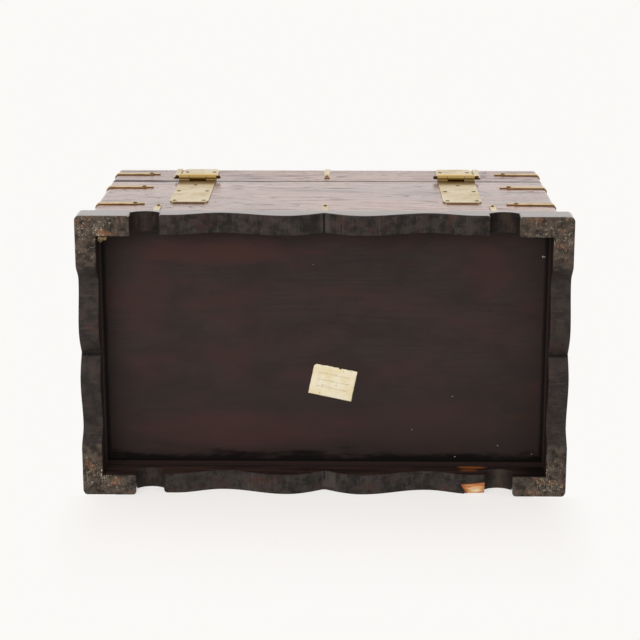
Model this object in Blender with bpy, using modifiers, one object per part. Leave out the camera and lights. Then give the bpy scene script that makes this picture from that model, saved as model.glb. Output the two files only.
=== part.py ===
"""A brass-mounted wooden chest on a shaped plinth, in metres.

It stands on the floor plane z = 0 with its front towards -Y, and the origin lies under its middle.
Left and right are as seen from the front."""

import math

import bmesh
import bpy
from mathutils import Matrix, Vector

# Fits
CLEARANCE = 0.0003  # between pieces that touch
CUT_MARGIN = 0.004  # how far a cutter runs past what it cuts

# Plinth: four mitred aprons
PLINTH_LENGTH = 0.600
PLINTH_DEPTH = 0.354
PLINTH_HEIGHT = 0.040
PLINTH_TOP_ROUND = 0.005
PLINTH_CORNER_RADIUS = 0.0055
APRON_THICKNESS = 0.025

# Lower edge of the long aprons, from the middle outwards: cusp, trough, crest, lobe, notch, foot
LONG_FOOT = 0.066
NOTCH_WIDTH = 0.034
NOTCH_SPRING = 0.021
NOTCH_CROWN = 0.031
NOTCH_EAR = 0.002  # how far the notch's arch oversails its straight sides
LONG_CUSP_HEIGHT = 0.023
LONG_TROUGH_HEIGHT = 0.0045
LONG_TROUGH_FROM_MIDDLE = 0.047
LONG_CREST_HEIGHT = 0.022
LONG_CREST_FROM_NOTCH = 0.073
LONG_LOBE_HEIGHT = 0.008
LONG_LOBE_LENGTH = 0.015  # level stretch beside the notch

# Lower edge of the short aprons, which have no notch
SHORT_FOOT = 0.060
SHORT_CUSP_HEIGHT = 0.025
SHORT_TROUGH_HEIGHT = 0.007
SHORT_TROUGH_FROM_MIDDLE = 0.034
SHORT_CREST_HEIGHT = 0.019
SHORT_CREST_FROM_FOOT = 0.025

# Chip broken off the front apron's lobe beside the left notch
CHIP_LENGTH = 0.0295  # from the notch to the tip, along its inner edge
CHIP_INSET = 0.0165  # in from the outer face, at the notch
CHIP_TIP_INSET = 0.0105
CHIP_TIP_RISE = 0.0018
CHIP_FACE_LENGTH = 0.025  # along the outer face
CHIP_FACE_RISE = 0.0035  # up the outer face, at the far end
CHIP_NOTCH_RISE = 0.0055  # and at the notch
CHIP_OVERRUN = 0.3  # share by which the cutter runs past the chip's edges

# Carcase boards
BODY_END_INSET = 0.010  # how far the plinth stands out at the ends
BODY_SIDE_INSET = 0.012  # and at the front and back
BOARD_THICKNESS = 0.015
CORNER_RADIUS = 0.0045
SEAM_HEIGHT = 0.289  # rim of the carcase
SEAM_GAP = 0.0008
BOTTOM_RECESS = 0.054  # underside of the bottom board
BOTTOM_THICKNESS = 0.012
GROOVE_DEPTH = 0.005

# Lid
LID_HEIGHT = 0.091
LID_BOARD_THICKNESS = 0.015
LID_EDGE_RADIUS = 0.008

# Hinges, on the back
HINGE_FROM_END = 0.116  # middle of a hinge, in from the end boards' outer faces
HINGE_AXIS_OFFSET = 0.0058  # behind the back boards
LEAF_WIDTH = 0.049
LEAF_THICKNESS = 0.0018
BODY_LEAF_LENGTH = 0.151
LID_LEAF_LENGTH = 0.080
LEAF_CHAMFER_WIDTH = 0.0045
LEAF_CHAMFER_LENGTH = 0.008
BARREL_LENGTH = 0.050
BARREL_DIAMETER = 0.0084
CENTRE_KNUCKLE_LENGTH = 0.0225
KNUCKLE_GAP = 0.0004
PIN_DIAMETER = 0.0036
FINIAL_DIAMETER = 0.0044
FINIAL_LENGTH = 0.0055
SCREW_HOLE_DIAMETER = 0.0056
SCREW_FROM_EDGE = 0.0058
BODY_LEAF_PAIRS = (0.079, 0.141)  # rows of two holes, from the axis
BODY_LEAF_SINGLE = 0.038
LID_LEAF_PAIRS = (0.057,)
LID_LEAF_SINGLE = 0.030

# Brass straps round the corners and edges
STRAP_THICKNESS = 0.0013
STRAP_WIDTH = 0.011
STRAP_REACH = 0.061  # from the corner to the tip of the tongue
TONGUE_LENGTH = 0.009
TONGUE_WIDTH = 0.0055
TONGUE_SHOULDER = 0.0012
LID_STRAP_ABOVE_SEAM = 0.049
UPPER_STRAP_BELOW_SEAM = 0.045
LOWER_STRAP_BELOW_SEAM = 0.156
EDGE_STRAP_WIDTH = 0.0075
EDGE_STRAP_FROM_END = 0.085
EDGE_STRAP_DROP = 0.068
EDGE_STRAP_REACH = 0.060
BASE_CLIP_FROM_END = 0.080
BASE_CLIP_RISE = 0.085
BASE_CLIP_FOOT = 0.006
BASE_CLIP_BEND = 0.0025

# Lock: a key plate outside, a cased bolt inside, and a link on the lid that the bolt passes through
KEY_PLATE_WIDTH = 0.036
KEY_PLATE_HEIGHT = 0.050
KEY_PLATE_THICKNESS = 0.0015
KEYHOLE_BELOW_SEAM = 0.040
KEYHOLE_DIAMETER = 0.007
KEYHOLE_SLOT_WIDTH = 0.0034
KEYHOLE_SLOT_LENGTH = 0.010
LOCK_WIDTH = 0.070
LOCK_HEIGHT = 0.050
LOCK_DEPTH = 0.0135
LOCK_WALL = 0.0016
LOCK_BELOW_SEAM = 0.003
LOCK_EAR = 0.012
LOCK_SLOT_CLEARANCE = 0.001
BOLT_LENGTH = 0.018
BOLT_HEIGHT = 0.012
BOLT_BELOW_SEAM = 0.016
NOSE_LENGTH = 0.012
NOSE_HEIGHT = 0.0064
NOSE_DEPTH = 0.005
NOSE_GAP = 0.001  # from the link at rest, when unlocked
LINK_WIDTH = 0.044
LINK_HEIGHT = 0.024
LINK_THICKNESS = 0.002
LINK_ABOVE_SEAM = 0.004
LINK_EYE_RIM = 0.004
LINK_EYE_CLEARANCE = 0.0006

# Bail handles on the ends
HANDLE_HEIGHT = 0.190
HANDLE_SPAN = 0.090
HANDLE_REACH = 0.0125  # bail axis, out from the end board
ROSETTE_DIAMETER = 0.026
ROSETTE_THICKNESS = 0.002
POST_NECK_DIAMETER = 0.010
POST_EYE_DIAMETER = 0.015
TANG_DIAMETER = 0.006
NUT_DIAMETER = 0.013
NUT_THICKNESS = 0.004
TANG_END = 0.001  # what shows past the nut
BAIL_DIAMETER = 0.0065
BAIL_DROP = 0.042
BAIL_BEND = 0.014
BAIL_PIN_BEND = 0.005
BAIL_PIN_END = 0.0015  # what shows past the eye

# Smoothness of round shapes
WAVE_STEPS = 12
ARC_STEPS = 8
ROUND_STEPS = 16
CORNER_STEPS = 3

# Sizes that follow
HALF_LENGTH = PLINTH_LENGTH / 2 - BODY_END_INSET
HALF_DEPTH = PLINTH_DEPTH / 2 - BODY_SIDE_INSET
INNER_LENGTH = HALF_LENGTH - BOARD_THICKNESS
INNER_DEPTH = HALF_DEPTH - BOARD_THICKNESS
LID_TOP = SEAM_HEIGHT + LID_HEIGHT
LID_BOARD_UNDERSIDE = LID_TOP - LID_BOARD_THICKNESS
LID_RIM = SEAM_HEIGHT + SEAM_GAP
HINGE_AXIS = Vector((0, HALF_DEPTH + HINGE_AXIS_OFFSET, SEAM_HEIGHT + SEAM_GAP / 2))
KEYHOLE_HEIGHT = SEAM_HEIGHT - KEYHOLE_BELOW_SEAM
LOCK_TOP = SEAM_HEIGHT - LOCK_BELOW_SEAM
LOCK_FRONT = -INNER_DEPTH + CLEARANCE
LOCK_CAVITY_DEPTH = LOCK_DEPTH - LOCK_WALL
LOCK_MIDDLE = LOCK_FRONT + LOCK_CAVITY_DEPTH / 2
BAIL_AXIS = HALF_LENGTH + CLEARANCE + HANDLE_REACH

# Turns of an outline: stood up with its depth along y, or crossways with its depth along x
UPRIGHT = Matrix.Rotation(math.radians(90), 4, "X")
ENDWAYS = Matrix(((0, 0, 1, 0), (1, 0, 0, 0), (0, 1, 0, 0), (0, 0, 0, 1)))


def clear_scene():
    for obj in list(bpy.data.objects):
        bpy.data.objects.remove(obj, do_unlink=True)


def new_collection(name):
    collection = bpy.data.collections.new(name)
    bpy.context.scene.collection.children.link(collection)
    return collection


def new_material(name, colour, roughness, metallic):
    material = bpy.data.materials.new(name)
    material.use_nodes = True
    shader = material.node_tree.nodes["Principled BSDF"]
    shader.inputs["Base Color"].default_value = (*colour, 1)
    shader.inputs["Roughness"].default_value = roughness
    shader.inputs["Metallic"].default_value = metallic
    material.diffuse_color = (*colour, 1)
    return material


clear_scene()
CHEST = new_collection("brass_mounted_chest")
CUTTERS = new_collection("cutters")
BODY_WOOD = new_material("dark_lacquered_wood", (0.085, 0.045, 0.038), 0.38, 0)
PLINTH_WOOD = new_material("dark_plinth_wood", (0.035, 0.028, 0.026), 0.45, 0)
BOTTOM_WOOD = new_material("dark_red_bottom_wood", (0.045, 0.02, 0.018), 0.42, 0)
BRASS = new_material("brass", (0.72, 0.55, 0.27), 0.3, 1)
DARK_BRASS = new_material("dark_brass", (0.25, 0.18, 0.09), 0.4, 1)


def add_piece(name, mesh, material, place=Matrix()):
    obj = bpy.data.objects.new(name, mesh)
    obj.data.materials.append(material)
    obj.matrix_world = place
    CHEST.objects.link(obj)
    return obj


def add_cutter(name, mesh, place=Matrix()):
    obj = bpy.data.objects.new(name, mesh)
    obj.matrix_world = place
    obj.hide_render = True
    obj.display_type = "WIRE"
    CUTTERS.objects.link(obj)
    return obj


def combine(obj, other, operation):
    boolean = obj.modifiers.new(other.name, "BOOLEAN")
    boolean.operation = operation
    boolean.object = other


def box_mesh(low, high):
    low, high = Vector(low), Vector(high)
    mesh = bpy.data.meshes.new("box")
    bm = bmesh.new()
    size = Matrix.Diagonal((*(high - low), 1))
    bmesh.ops.create_cube(bm, size=1, matrix=Matrix.Translation((low + high) / 2) @ size)
    bm.to_mesh(mesh)
    bm.free()
    return mesh


def prism_mesh(plan, height):
    """An outline in plan, stood up from z = 0."""
    mesh = bpy.data.meshes.new("prism")
    bm = bmesh.new()
    base = bm.faces.new([bm.verts.new((x, y, 0)) for x, y in plan])
    raised = bmesh.ops.extrude_face_region(bm, geom=[base], use_keep_orig=True)["geom"]
    upper = [part for part in raised if isinstance(part, bmesh.types.BMVert)]
    bmesh.ops.translate(bm, vec=(0, 0, height), verts=upper)
    bmesh.ops.recalc_face_normals(bm, faces=bm.faces)
    bm.to_mesh(mesh)
    bm.free()
    return mesh


def round_edges(obj, radius, weight_of):
    """Rounds each edge of a mesh by its weight, a share of the radius."""
    weights = obj.data.attributes.new("bevel_weight_edge", "FLOAT", "EDGE")
    for edge in obj.data.edges:
        ends = [obj.data.vertices[i].co for i in edge.vertices]
        weights.data[edge.index].value = weight_of(*ends)
    bevel = obj.modifiers.new("rounded edges", "BEVEL")
    bevel.limit_method = "WEIGHT"
    bevel.width = radius
    bevel.segments = 3


def baked_mesh(source):
    """The mesh that an object's curve or modifiers make; the object itself goes."""
    CHEST.objects.link(source)
    graph = bpy.context.evaluated_depsgraph_get()
    mesh = bpy.data.meshes.new_from_object(source.evaluated_get(graph), depsgraph=graph)
    bpy.data.objects.remove(source)
    bm = bmesh.new()
    bm.from_mesh(mesh)
    bmesh.ops.remove_doubles(bm, verts=bm.verts, dist=1e-6)
    bm.to_mesh(mesh)
    bm.free()
    return mesh


def outline_mesh(outlines, depth, turn=UPRIGHT):
    """A flat outline with its holes, made solid: its depth is centred on the outline's plane."""
    curve = bpy.data.curves.new("outline", "CURVE")
    curve.dimensions = "2D"
    curve.fill_mode = "BOTH"
    curve.extrude = depth / 2
    for points in outlines:
        spline = curve.splines.new("POLY")
        spline.points.add(len(points) - 1)
        for corner, (x, y) in zip(spline.points, points):
            corner.co = (x, y, 0, 1)
        spline.use_cyclic_u = True
    mesh = baked_mesh(bpy.data.objects.new("outline", curve))
    mesh.transform(turn)
    return mesh


def turned_mesh(profile, closed=False):
    """A profile of (radius, height) points, top to bottom down its outer side, turned about z."""
    mesh = bpy.data.meshes.new("profile")
    links = [(i, i + 1) for i in range(len(profile) - 1)]
    if closed:
        links.append((len(profile) - 1, 0))
    mesh.from_pydata([(radius, 0, height) for radius, height in profile], links, [])
    obj = bpy.data.objects.new("profile", mesh)
    screw = obj.modifiers.new("turning", "SCREW")
    screw.steps = ROUND_STEPS
    screw.render_steps = ROUND_STEPS
    screw.use_merge_vertices = True
    screw.merge_threshold = 0.00001
    turned = baked_mesh(obj)
    turned.shade_smooth()
    turned.set_sharp_from_angle(angle=math.radians(35))
    return turned


def arc(centre, radius, start, end, steps=ARC_STEPS):
    """Points on an arc between two angles in degrees, both ends included."""
    angles = [math.radians(start + (end - start) * i / steps) for i in range(steps + 1)]
    return [(centre[0] + radius * math.cos(a), centre[1] + radius * math.sin(a)) for a in angles]


def circle(centre, diameter):
    return arc(centre, diameter / 2, 0, 360, ROUND_STEPS)[:-1]


def sway(start, end):
    """A smooth S from one turning point of the lower edge to the next, without its first point."""
    points = []
    for i in range(1, WAVE_STEPS + 1):
        share = i / WAVE_STEPS
        rise = (1 - math.cos(math.pi * share)) / 2
        points.append((start[0] + (end[0] - start[0]) * share, start[1] + (end[1] - start[1]) * rise))
    return points


def cusp(top, trough):
    """The edge from a pointed middle down to the first trough, both ends included."""
    points = []
    for i in range(WAVE_STEPS + 1):
        share = i / WAVE_STEPS
        fall = math.sin(math.pi / 2 * share)
        points.append((trough[0] * share, top + (trough[1] - top) * fall))
    return points


def long_half_edge():
    foot = PLINTH_LENGTH / 2 - LONG_FOOT
    notch = foot - NOTCH_WIDTH
    trough = (LONG_TROUGH_FROM_MIDDLE, LONG_TROUGH_HEIGHT)
    crest = (notch - LONG_CREST_FROM_NOTCH, LONG_CREST_HEIGHT)
    lobe = (notch - LONG_LOBE_LENGTH, LONG_LOBE_HEIGHT)
    half_span = NOTCH_WIDTH / 2 + NOTCH_EAR
    rise = NOTCH_CROWN - NOTCH_SPRING
    radius = (half_span**2 + rise**2) / (2 * rise)
    half_angle = math.degrees(math.asin(half_span / radius))
    crown = ((notch + foot) / 2, NOTCH_CROWN - radius)
    edge = cusp(LONG_CUSP_HEIGHT, trough) + sway(trough, crest) + sway(crest, lobe)
    edge += [(notch, LONG_LOBE_HEIGHT), (notch, NOTCH_SPRING)]
    edge += arc(crown, radius, 90 + half_angle, 90 - half_angle)
    return edge + [(foot, NOTCH_SPRING), (foot, -CUT_MARGIN)]


def short_half_edge():
    foot = (PLINTH_DEPTH / 2 - SHORT_FOOT, 0)
    trough = (SHORT_TROUGH_FROM_MIDDLE, SHORT_TROUGH_HEIGHT)
    crest = (foot[0] - SHORT_CREST_FROM_FOOT, SHORT_CREST_HEIGHT)
    edge = cusp(SHORT_CUSP_HEIGHT, trough) + sway(trough, crest) + sway(crest, foot)
    return edge + [(foot[0], -CUT_MARGIN)]


def apron(name, length, half_edge, place):
    """A mitred board with its outer face at y = 0, rounded along the top and shaped along the bottom."""
    end = length / 2 - CLEARANCE / math.sqrt(2)
    bend = (end - PLINTH_CORNER_RADIUS, PLINTH_CORNER_RADIUS)
    half = arc(bend, PLINTH_CORNER_RADIUS, -90, -45, CORNER_STEPS)
    half.append((end - APRON_THICKNESS, APRON_THICKNESS))
    plan = half + [(-x, y) for x, y in reversed(half)]
    obj = add_piece(name, prism_mesh(plan, PLINTH_HEIGHT), PLINTH_WOOD, place)
    mid_depth = APRON_THICKNESS / 2
    mid_height = PLINTH_HEIGHT / 2
    round_edges(obj, PLINTH_TOP_ROUND, lambda a, b: max(a.y, b.y) < mid_depth and min(a.z, b.z) > mid_height)
    edge = [(-x, z) for x, z in reversed(half_edge[1:])] + half_edge
    shape = outline_mesh([edge], APRON_THICKNESS + 2 * CUT_MARGIN)
    across = Matrix.Translation((0, APRON_THICKNESS / 2, 0))
    combine(obj, add_cutter(name + "_edge", shape, place @ across), "DIFFERENCE")
    return obj


def chip(board):
    """Takes a splinter off the lobe beside the left notch, deepest on the outer face at the notch."""
    outer = -PLINTH_DEPTH / 2
    notch = -(PLINTH_LENGTH / 2 - LONG_FOOT - NOTCH_WIDTH)
    rims = (
        ((0, 0, CHIP_NOTCH_RISE), (0, CHIP_INSET, 0), -CUT_MARGIN),
        ((CHIP_FACE_LENGTH, 0, CHIP_FACE_RISE), (CHIP_LENGTH, CHIP_TIP_INSET, CHIP_TIP_RISE), 0),
    )
    bm = bmesh.new()
    for face, inner, overrun in rims:
        for start, end in ((face, inner), (inner, face)):
            point = Vector(end) + (Vector(end) - Vector(start)) * CHIP_OVERRUN
            point += Vector((notch + overrun, outer, LONG_LOBE_HEIGHT))
            bm.verts.new(point)
            bm.verts.new((point.x, point.y, 0))
    bmesh.ops.convex_hull(bm, input=bm.verts)
    mesh = bpy.data.meshes.new("chip")
    bm.to_mesh(mesh)
    bm.free()
    combine(board, add_cutter("front_apron_chip", mesh), "DIFFERENCE")


def add_plinth():
    half_turn = Matrix.Rotation(math.pi, 4, "Z")
    quarter_turn = Matrix.Rotation(math.pi / 2, 4, "Z")
    to_front = Matrix.Translation((0, -PLINTH_DEPTH / 2, 0))
    to_end = Matrix.Translation((0, -PLINTH_LENGTH / 2, 0))
    front = apron("plinth_front_apron", PLINTH_LENGTH, long_half_edge(), to_front)
    chip(front)
    apron("plinth_back_apron", PLINTH_LENGTH, long_half_edge(), half_turn @ to_front)
    apron("plinth_right_apron", PLINTH_DEPTH, short_half_edge(), quarter_turn @ to_end)
    apron("plinth_left_apron", PLINTH_DEPTH, short_half_edge(), quarter_turn.inverted() @ to_end)


def add_walls(prefix, suffix, low, high):
    """Four boards of a box: the front and back run the full length, and the ends fit between them."""
    end_depth = INNER_DEPTH - CLEARANCE
    mid_depth = (INNER_DEPTH + HALF_DEPTH) / 2
    walls = {}
    for side, sign in (("front", -1), ("back", 1)):
        ys = sorted((sign * INNER_DEPTH, sign * HALF_DEPTH))
        mesh = box_mesh((-HALF_LENGTH, ys[0], low), (HALF_LENGTH, ys[1], high))
        wall = add_piece(prefix + side + suffix, mesh, BODY_WOOD)
        round_edges(wall, CORNER_RADIUS, lambda a, b: a.x == b.x and a.y == b.y and abs(a.y) > mid_depth)
        walls[side] = wall
    for side, sign in (("left", -1), ("right", 1)):
        xs = sorted((sign * INNER_LENGTH, sign * HALF_LENGTH))
        mesh = box_mesh((xs[0], -end_depth, low), (xs[1], end_depth, high))
        walls[side] = add_piece(prefix + side + suffix, mesh, BODY_WOOD)
    return walls


def keyhole(centre, gap):
    """A round hole with a slot below it, opened out by a gap all round."""
    radius = KEYHOLE_DIAMETER / 2 + gap
    half_slot = KEYHOLE_SLOT_WIDTH / 2 + gap
    bottom = centre[1] - KEYHOLE_SLOT_LENGTH - gap
    opening = math.degrees(math.asin(half_slot / radius))
    ring = arc(centre, radius, -90 + opening, 270 - opening, ROUND_STEPS)
    return ring + [(centre[0] - half_slot, bottom), (centre[0] + half_slot, bottom)]


def add_carcase():
    walls = add_walls("", "_board", PLINTH_HEIGHT + CLEARANCE, SEAM_HEIGHT)
    panel = Vector((INNER_LENGTH, INNER_DEPTH, 0)) + Vector((GROOVE_DEPTH, GROOVE_DEPTH, 0))
    up = Vector((0, 0, BOTTOM_RECESS))
    top = Vector((0, 0, BOTTOM_RECESS + BOTTOM_THICKNESS))
    gap = Vector((CLEARANCE, CLEARANCE, CLEARANCE))
    groove = add_cutter("bottom_groove", box_mesh(up - panel - gap, top + panel + gap))
    for wall in walls.values():
        combine(wall, groove, "DIFFERENCE")
    add_piece("bottom_board", box_mesh(up - panel, top + panel), BOTTOM_WOOD)
    hole = outline_mesh([keyhole((0, KEYHOLE_HEIGHT), CLEARANCE)], BOARD_THICKNESS + 2 * CUT_MARGIN)
    through = Matrix.Translation((0, -HALF_DEPTH + BOARD_THICKNESS / 2, 0))
    combine(walls["front"], add_cutter("keyhole_cut", hole, through), "DIFFERENCE")
    return walls


def add_lid():
    pieces = list(add_walls("lid_", "_rail", LID_RIM, LID_BOARD_UNDERSIDE - CLEARANCE).values())
    low = (-HALF_LENGTH, -HALF_DEPTH, LID_BOARD_UNDERSIDE)
    top = add_piece("lid_top_board", box_mesh(low, (HALF_LENGTH, HALF_DEPTH, LID_TOP)), BODY_WOOD)

    def weight(a, b):
        if a.z != b.z:
            return CORNER_RADIUS / LID_EDGE_RADIUS
        return a.z > LID_TOP - LID_BOARD_THICKNESS / 2

    round_edges(top, LID_EDGE_RADIUS, weight)
    return pieces + [top]


def knuckle_outline(up):
    """Section of a rolled knuckle with its neck, about the axis. up is 1 on the lid and -1 on the carcase."""
    radius = BARREL_DIAMETER / 2
    inset = LEAF_THICKNESS / 8  # the neck ends inside the plate
    near = CLEARANCE - HINGE_AXIS_OFFSET + inset
    far = CLEARANCE - HINGE_AXIS_OFFSET + LEAF_THICKNESS - inset
    end = leaf_start() + LEAF_THICKNESS
    ring = arc((0, 0), radius, -170, 120, ROUND_STEPS)
    section = ring + [(far, end), (near, end), (near, radius / 4)]
    mirrored = [(y, z * up) for y, z in section]
    return [mirrored, circle((0, 0), PIN_DIAMETER + 2 * CLEARANCE)]


def leaf_start():
    """Where a leaf's plate starts under the barrel, clear of the other leaf's knuckles."""
    above_plate = HINGE_AXIS_OFFSET - CLEARANCE - LEAF_THICKNESS
    return math.sqrt((BARREL_DIAMETER / 2 + CLEARANCE) ** 2 - above_plate**2)


def leaf(name, middle, up, length, pairs, single, knuckles):
    """A hinge leaf: a flat plate with chamfered outer corners and screw holes, and its knuckles."""
    half = LEAF_WIDTH / 2
    start = leaf_start()
    outline = [(-half, start), (half, start), (half, length - LEAF_CHAMFER_LENGTH)]
    outline += [(half - LEAF_CHAMFER_WIDTH, length), (LEAF_CHAMFER_WIDTH - half, length)]
    outline.append((-half, length - LEAF_CHAMFER_LENGTH))
    across = half - SCREW_FROM_EDGE
    holes = [(0, single)] + [(side * across, row) for row in pairs for side in (-1, 1)]
    outlines = [outline] + [circle(hole, SCREW_HOLE_DIAMETER) for hole in holes]
    flipped = [[(x, z * up) for x, z in points] for points in outlines]
    axis = Vector((middle, HINGE_AXIS.y, HINGE_AXIS.z))
    plate_depth = CLEARANCE + LEAF_THICKNESS / 2 - HINGE_AXIS_OFFSET
    plate = outline_mesh(flipped, LEAF_THICKNESS)
    obj = add_piece(name, plate, BRASS, Matrix.Translation(axis + Vector((0, plate_depth, 0))))
    for count, (centre, width) in enumerate(knuckles):
        roll = outline_mesh(knuckle_outline(up), width, ENDWAYS)
        place = Matrix.Translation(axis + Vector((centre, 0, 0)))
        combine(obj, add_cutter(f"{name}_knuckle_{count}", roll, place), "UNION")
    return obj


def add_hinge(side, middle):
    """Returns the pieces that stay with the carcase and those that move with the lid."""
    side_length = (BARREL_LENGTH - CENTRE_KNUCKLE_LENGTH) / 2 - KNUCKLE_GAP
    side_middle = (BARREL_LENGTH - side_length) / 2
    outer = [(-side_middle, side_length), (side_middle, side_length)]
    centre = [(0, CENTRE_KNUCKLE_LENGTH)]
    name = side + "_hinge"
    leaf(name + "_body_leaf", middle, -1, BODY_LEAF_LENGTH, BODY_LEAF_PAIRS, BODY_LEAF_SINGLE, outer)
    moving = leaf(name + "_lid_leaf", middle, 1, LID_LEAF_LENGTH, LID_LEAF_PAIRS, LID_LEAF_SINGLE, centre)
    shoulder = BARREL_LENGTH / 2 + CLEARANCE
    dome = FINIAL_DIAMETER / 2
    tip = arc((0, shoulder + FINIAL_LENGTH - dome), dome, 90, 0, 4)
    upper = tip + [(dome, shoulder), (PIN_DIAMETER / 2, shoulder)]
    upper[0] = (0, upper[0][1])
    lower = [(radius, -height) for radius, height in reversed(upper)]
    place = Matrix.Translation((middle, HINGE_AXIS.y, HINGE_AXIS.z)) @ Matrix.Rotation(math.pi / 2, 4, "Y")
    add_piece(name + "_pin", turned_mesh(upper + lower), DARK_BRASS, place)
    return moving


def strap(name, path, across, outward):
    """A brass strip laid along a path of (point, width), thickened away from the wood."""
    mesh = bpy.data.meshes.new(name)
    bm = bmesh.new()
    bmesh.ops.create_grid(bm, x_segments=len(path) - 1, y_segments=1, size=1)
    for vertex in bm.verts:
        point, width = path[round((vertex.co.x + 1) / 2 * (len(path) - 1))]
        vertex.co = Vector(point) + Vector(across) * math.copysign(width / 2, vertex.co.y)
    bm.normal_update()
    bm.faces.ensure_lookup_table()
    if bm.faces[0].normal.dot(Vector(outward)) < 0:
        bmesh.ops.reverse_faces(bm, faces=bm.faces)
    bm.to_mesh(mesh)
    bm.free()
    obj = add_piece(name, mesh, BRASS)
    solidify = obj.modifiers.new("thickness", "SOLIDIFY")
    solidify.thickness = STRAP_THICKNESS
    solidify.offset = 1
    solidify.use_even_offset = True
    return obj


def tongue_steps(width):
    """Distances from a strap's tip with its width there: a narrow tongue, then a shoulder."""
    return [(0, TONGUE_WIDTH * 0.7), (TONGUE_WIDTH / 4, TONGUE_WIDTH), (TONGUE_LENGTH, TONGUE_WIDTH),
            (TONGUE_LENGTH + TONGUE_SHOULDER, width)]


def add_corner_strap(name, x_sign, y_sign, height):
    """A strap that wraps a vertical corner, with a tongue on each face."""
    bend = CORNER_RADIUS + CLEARANCE
    along = [(STRAP_REACH - step, width) for step, width in tongue_steps(STRAP_WIDTH)]
    flat = [((HALF_LENGTH + CLEARANCE, HALF_DEPTH - distance), width) for distance, width in along]
    turn = arc((HALF_LENGTH - CORNER_RADIUS, HALF_DEPTH - CORNER_RADIUS), bend, 0, 90)
    flat += [(point, STRAP_WIDTH) for point in turn]
    flat += [((HALF_LENGTH - distance, HALF_DEPTH + CLEARANCE), width) for distance, width in reversed(along)]
    path = [((x * x_sign, y * y_sign, height), width) for (x, y), width in flat]
    return strap(name, path, (0, 0, 1), (x_sign, 0, 0))


def add_edge_strap(name, x, y_sign):
    """A strap over the lid's top edge: plain at its lower end, with a tongue on the top."""
    top = LID_TOP + CLEARANCE
    face = HALF_DEPTH + CLEARANCE
    flat = [((face, LID_TOP - EDGE_STRAP_DROP), EDGE_STRAP_WIDTH)]
    turn = arc((HALF_DEPTH - LID_EDGE_RADIUS, LID_TOP - LID_EDGE_RADIUS), LID_EDGE_RADIUS + CLEARANCE, 0, 90)
    flat += [(point, EDGE_STRAP_WIDTH) for point in turn]
    steps = reversed(tongue_steps(EDGE_STRAP_WIDTH))
    flat += [((HALF_DEPTH - EDGE_STRAP_REACH + step, top), width) for step, width in steps]
    path = [((x, y * y_sign, z), width) for (y, z), width in flat]
    return strap(name, path, (1, 0, 0), (0, y_sign, 0))


def add_base_clip(name, x, y_sign):
    """An angle clip that ties the carcase to the plinth: up the wall, with a foot on the plinth's top."""
    seat = PLINTH_HEIGHT + CLEARANCE
    face = HALF_DEPTH + CLEARANCE
    flat = [(face, PLINTH_HEIGHT + BASE_CLIP_RISE)]
    flat += arc((face + BASE_CLIP_BEND, seat + BASE_CLIP_BEND), BASE_CLIP_BEND, 180, 270)
    flat.append((face + BASE_CLIP_FOOT, seat))
    path = [((x, y * y_sign, z), EDGE_STRAP_WIDTH) for y, z in flat]
    strap(name, path, (1, 0, 0), (0, y_sign, 0))


def add_straps():
    """Returns the straps that move with the lid."""
    lid_straps = []
    lower = SEAM_HEIGHT - LOWER_STRAP_BELOW_SEAM
    upper = SEAM_HEIGHT - UPPER_STRAP_BELOW_SEAM
    on_lid = SEAM_HEIGHT + LID_STRAP_ABOVE_SEAM
    strap_x = HALF_LENGTH - EDGE_STRAP_FROM_END
    clip_x = HALF_LENGTH - BASE_CLIP_FROM_END
    for front, y_sign in (("front", -1), ("back", 1)):
        for side, x_sign in (("left", -1), ("right", 1)):
            corner = f"{front}_{side}"
            add_corner_strap(corner + "_lower_corner_strap", x_sign, y_sign, lower)
            add_corner_strap(corner + "_upper_corner_strap", x_sign, y_sign, upper)
            lid_straps.append(add_corner_strap(corner + "_lid_corner_strap", x_sign, y_sign, on_lid))
            lid_straps.append(add_edge_strap(corner + "_lid_strap", x_sign * strap_x, y_sign))
            add_base_clip(corner + "_base_clip", x_sign * clip_x, y_sign)
        add_base_clip(front + "_centre_base_clip", 0, y_sign)
    lid_straps.append(add_edge_strap("back_centre_lid_strap", 0, 1))
    return lid_straps


def add_key_plate():
    half, rise = KEY_PLATE_WIDTH / 2, KEY_PLATE_HEIGHT / 2
    side, top = half - LEAF_CHAMFER_WIDTH, rise - LEAF_CHAMFER_LENGTH
    corner = [(half, -top), (half, top), (side, rise), (-side, rise)]
    outline = corner + [(-x, -z) for x, z in corner]
    mesh = outline_mesh([outline, keyhole((0, 0), 0)], KEY_PLATE_THICKNESS)
    depth = HALF_DEPTH + CLEARANCE + KEY_PLATE_THICKNESS / 2
    add_piece("key_plate", mesh, BRASS, Matrix.Translation((0, -depth, KEYHOLE_HEIGHT)))


def eye_size():
    """The eye that the bolt's nose passes through: its depth and height."""
    return NOSE_DEPTH + 2 * LINK_EYE_CLEARANCE, NOSE_HEIGHT + 2 * LINK_EYE_CLEARANCE


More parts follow.
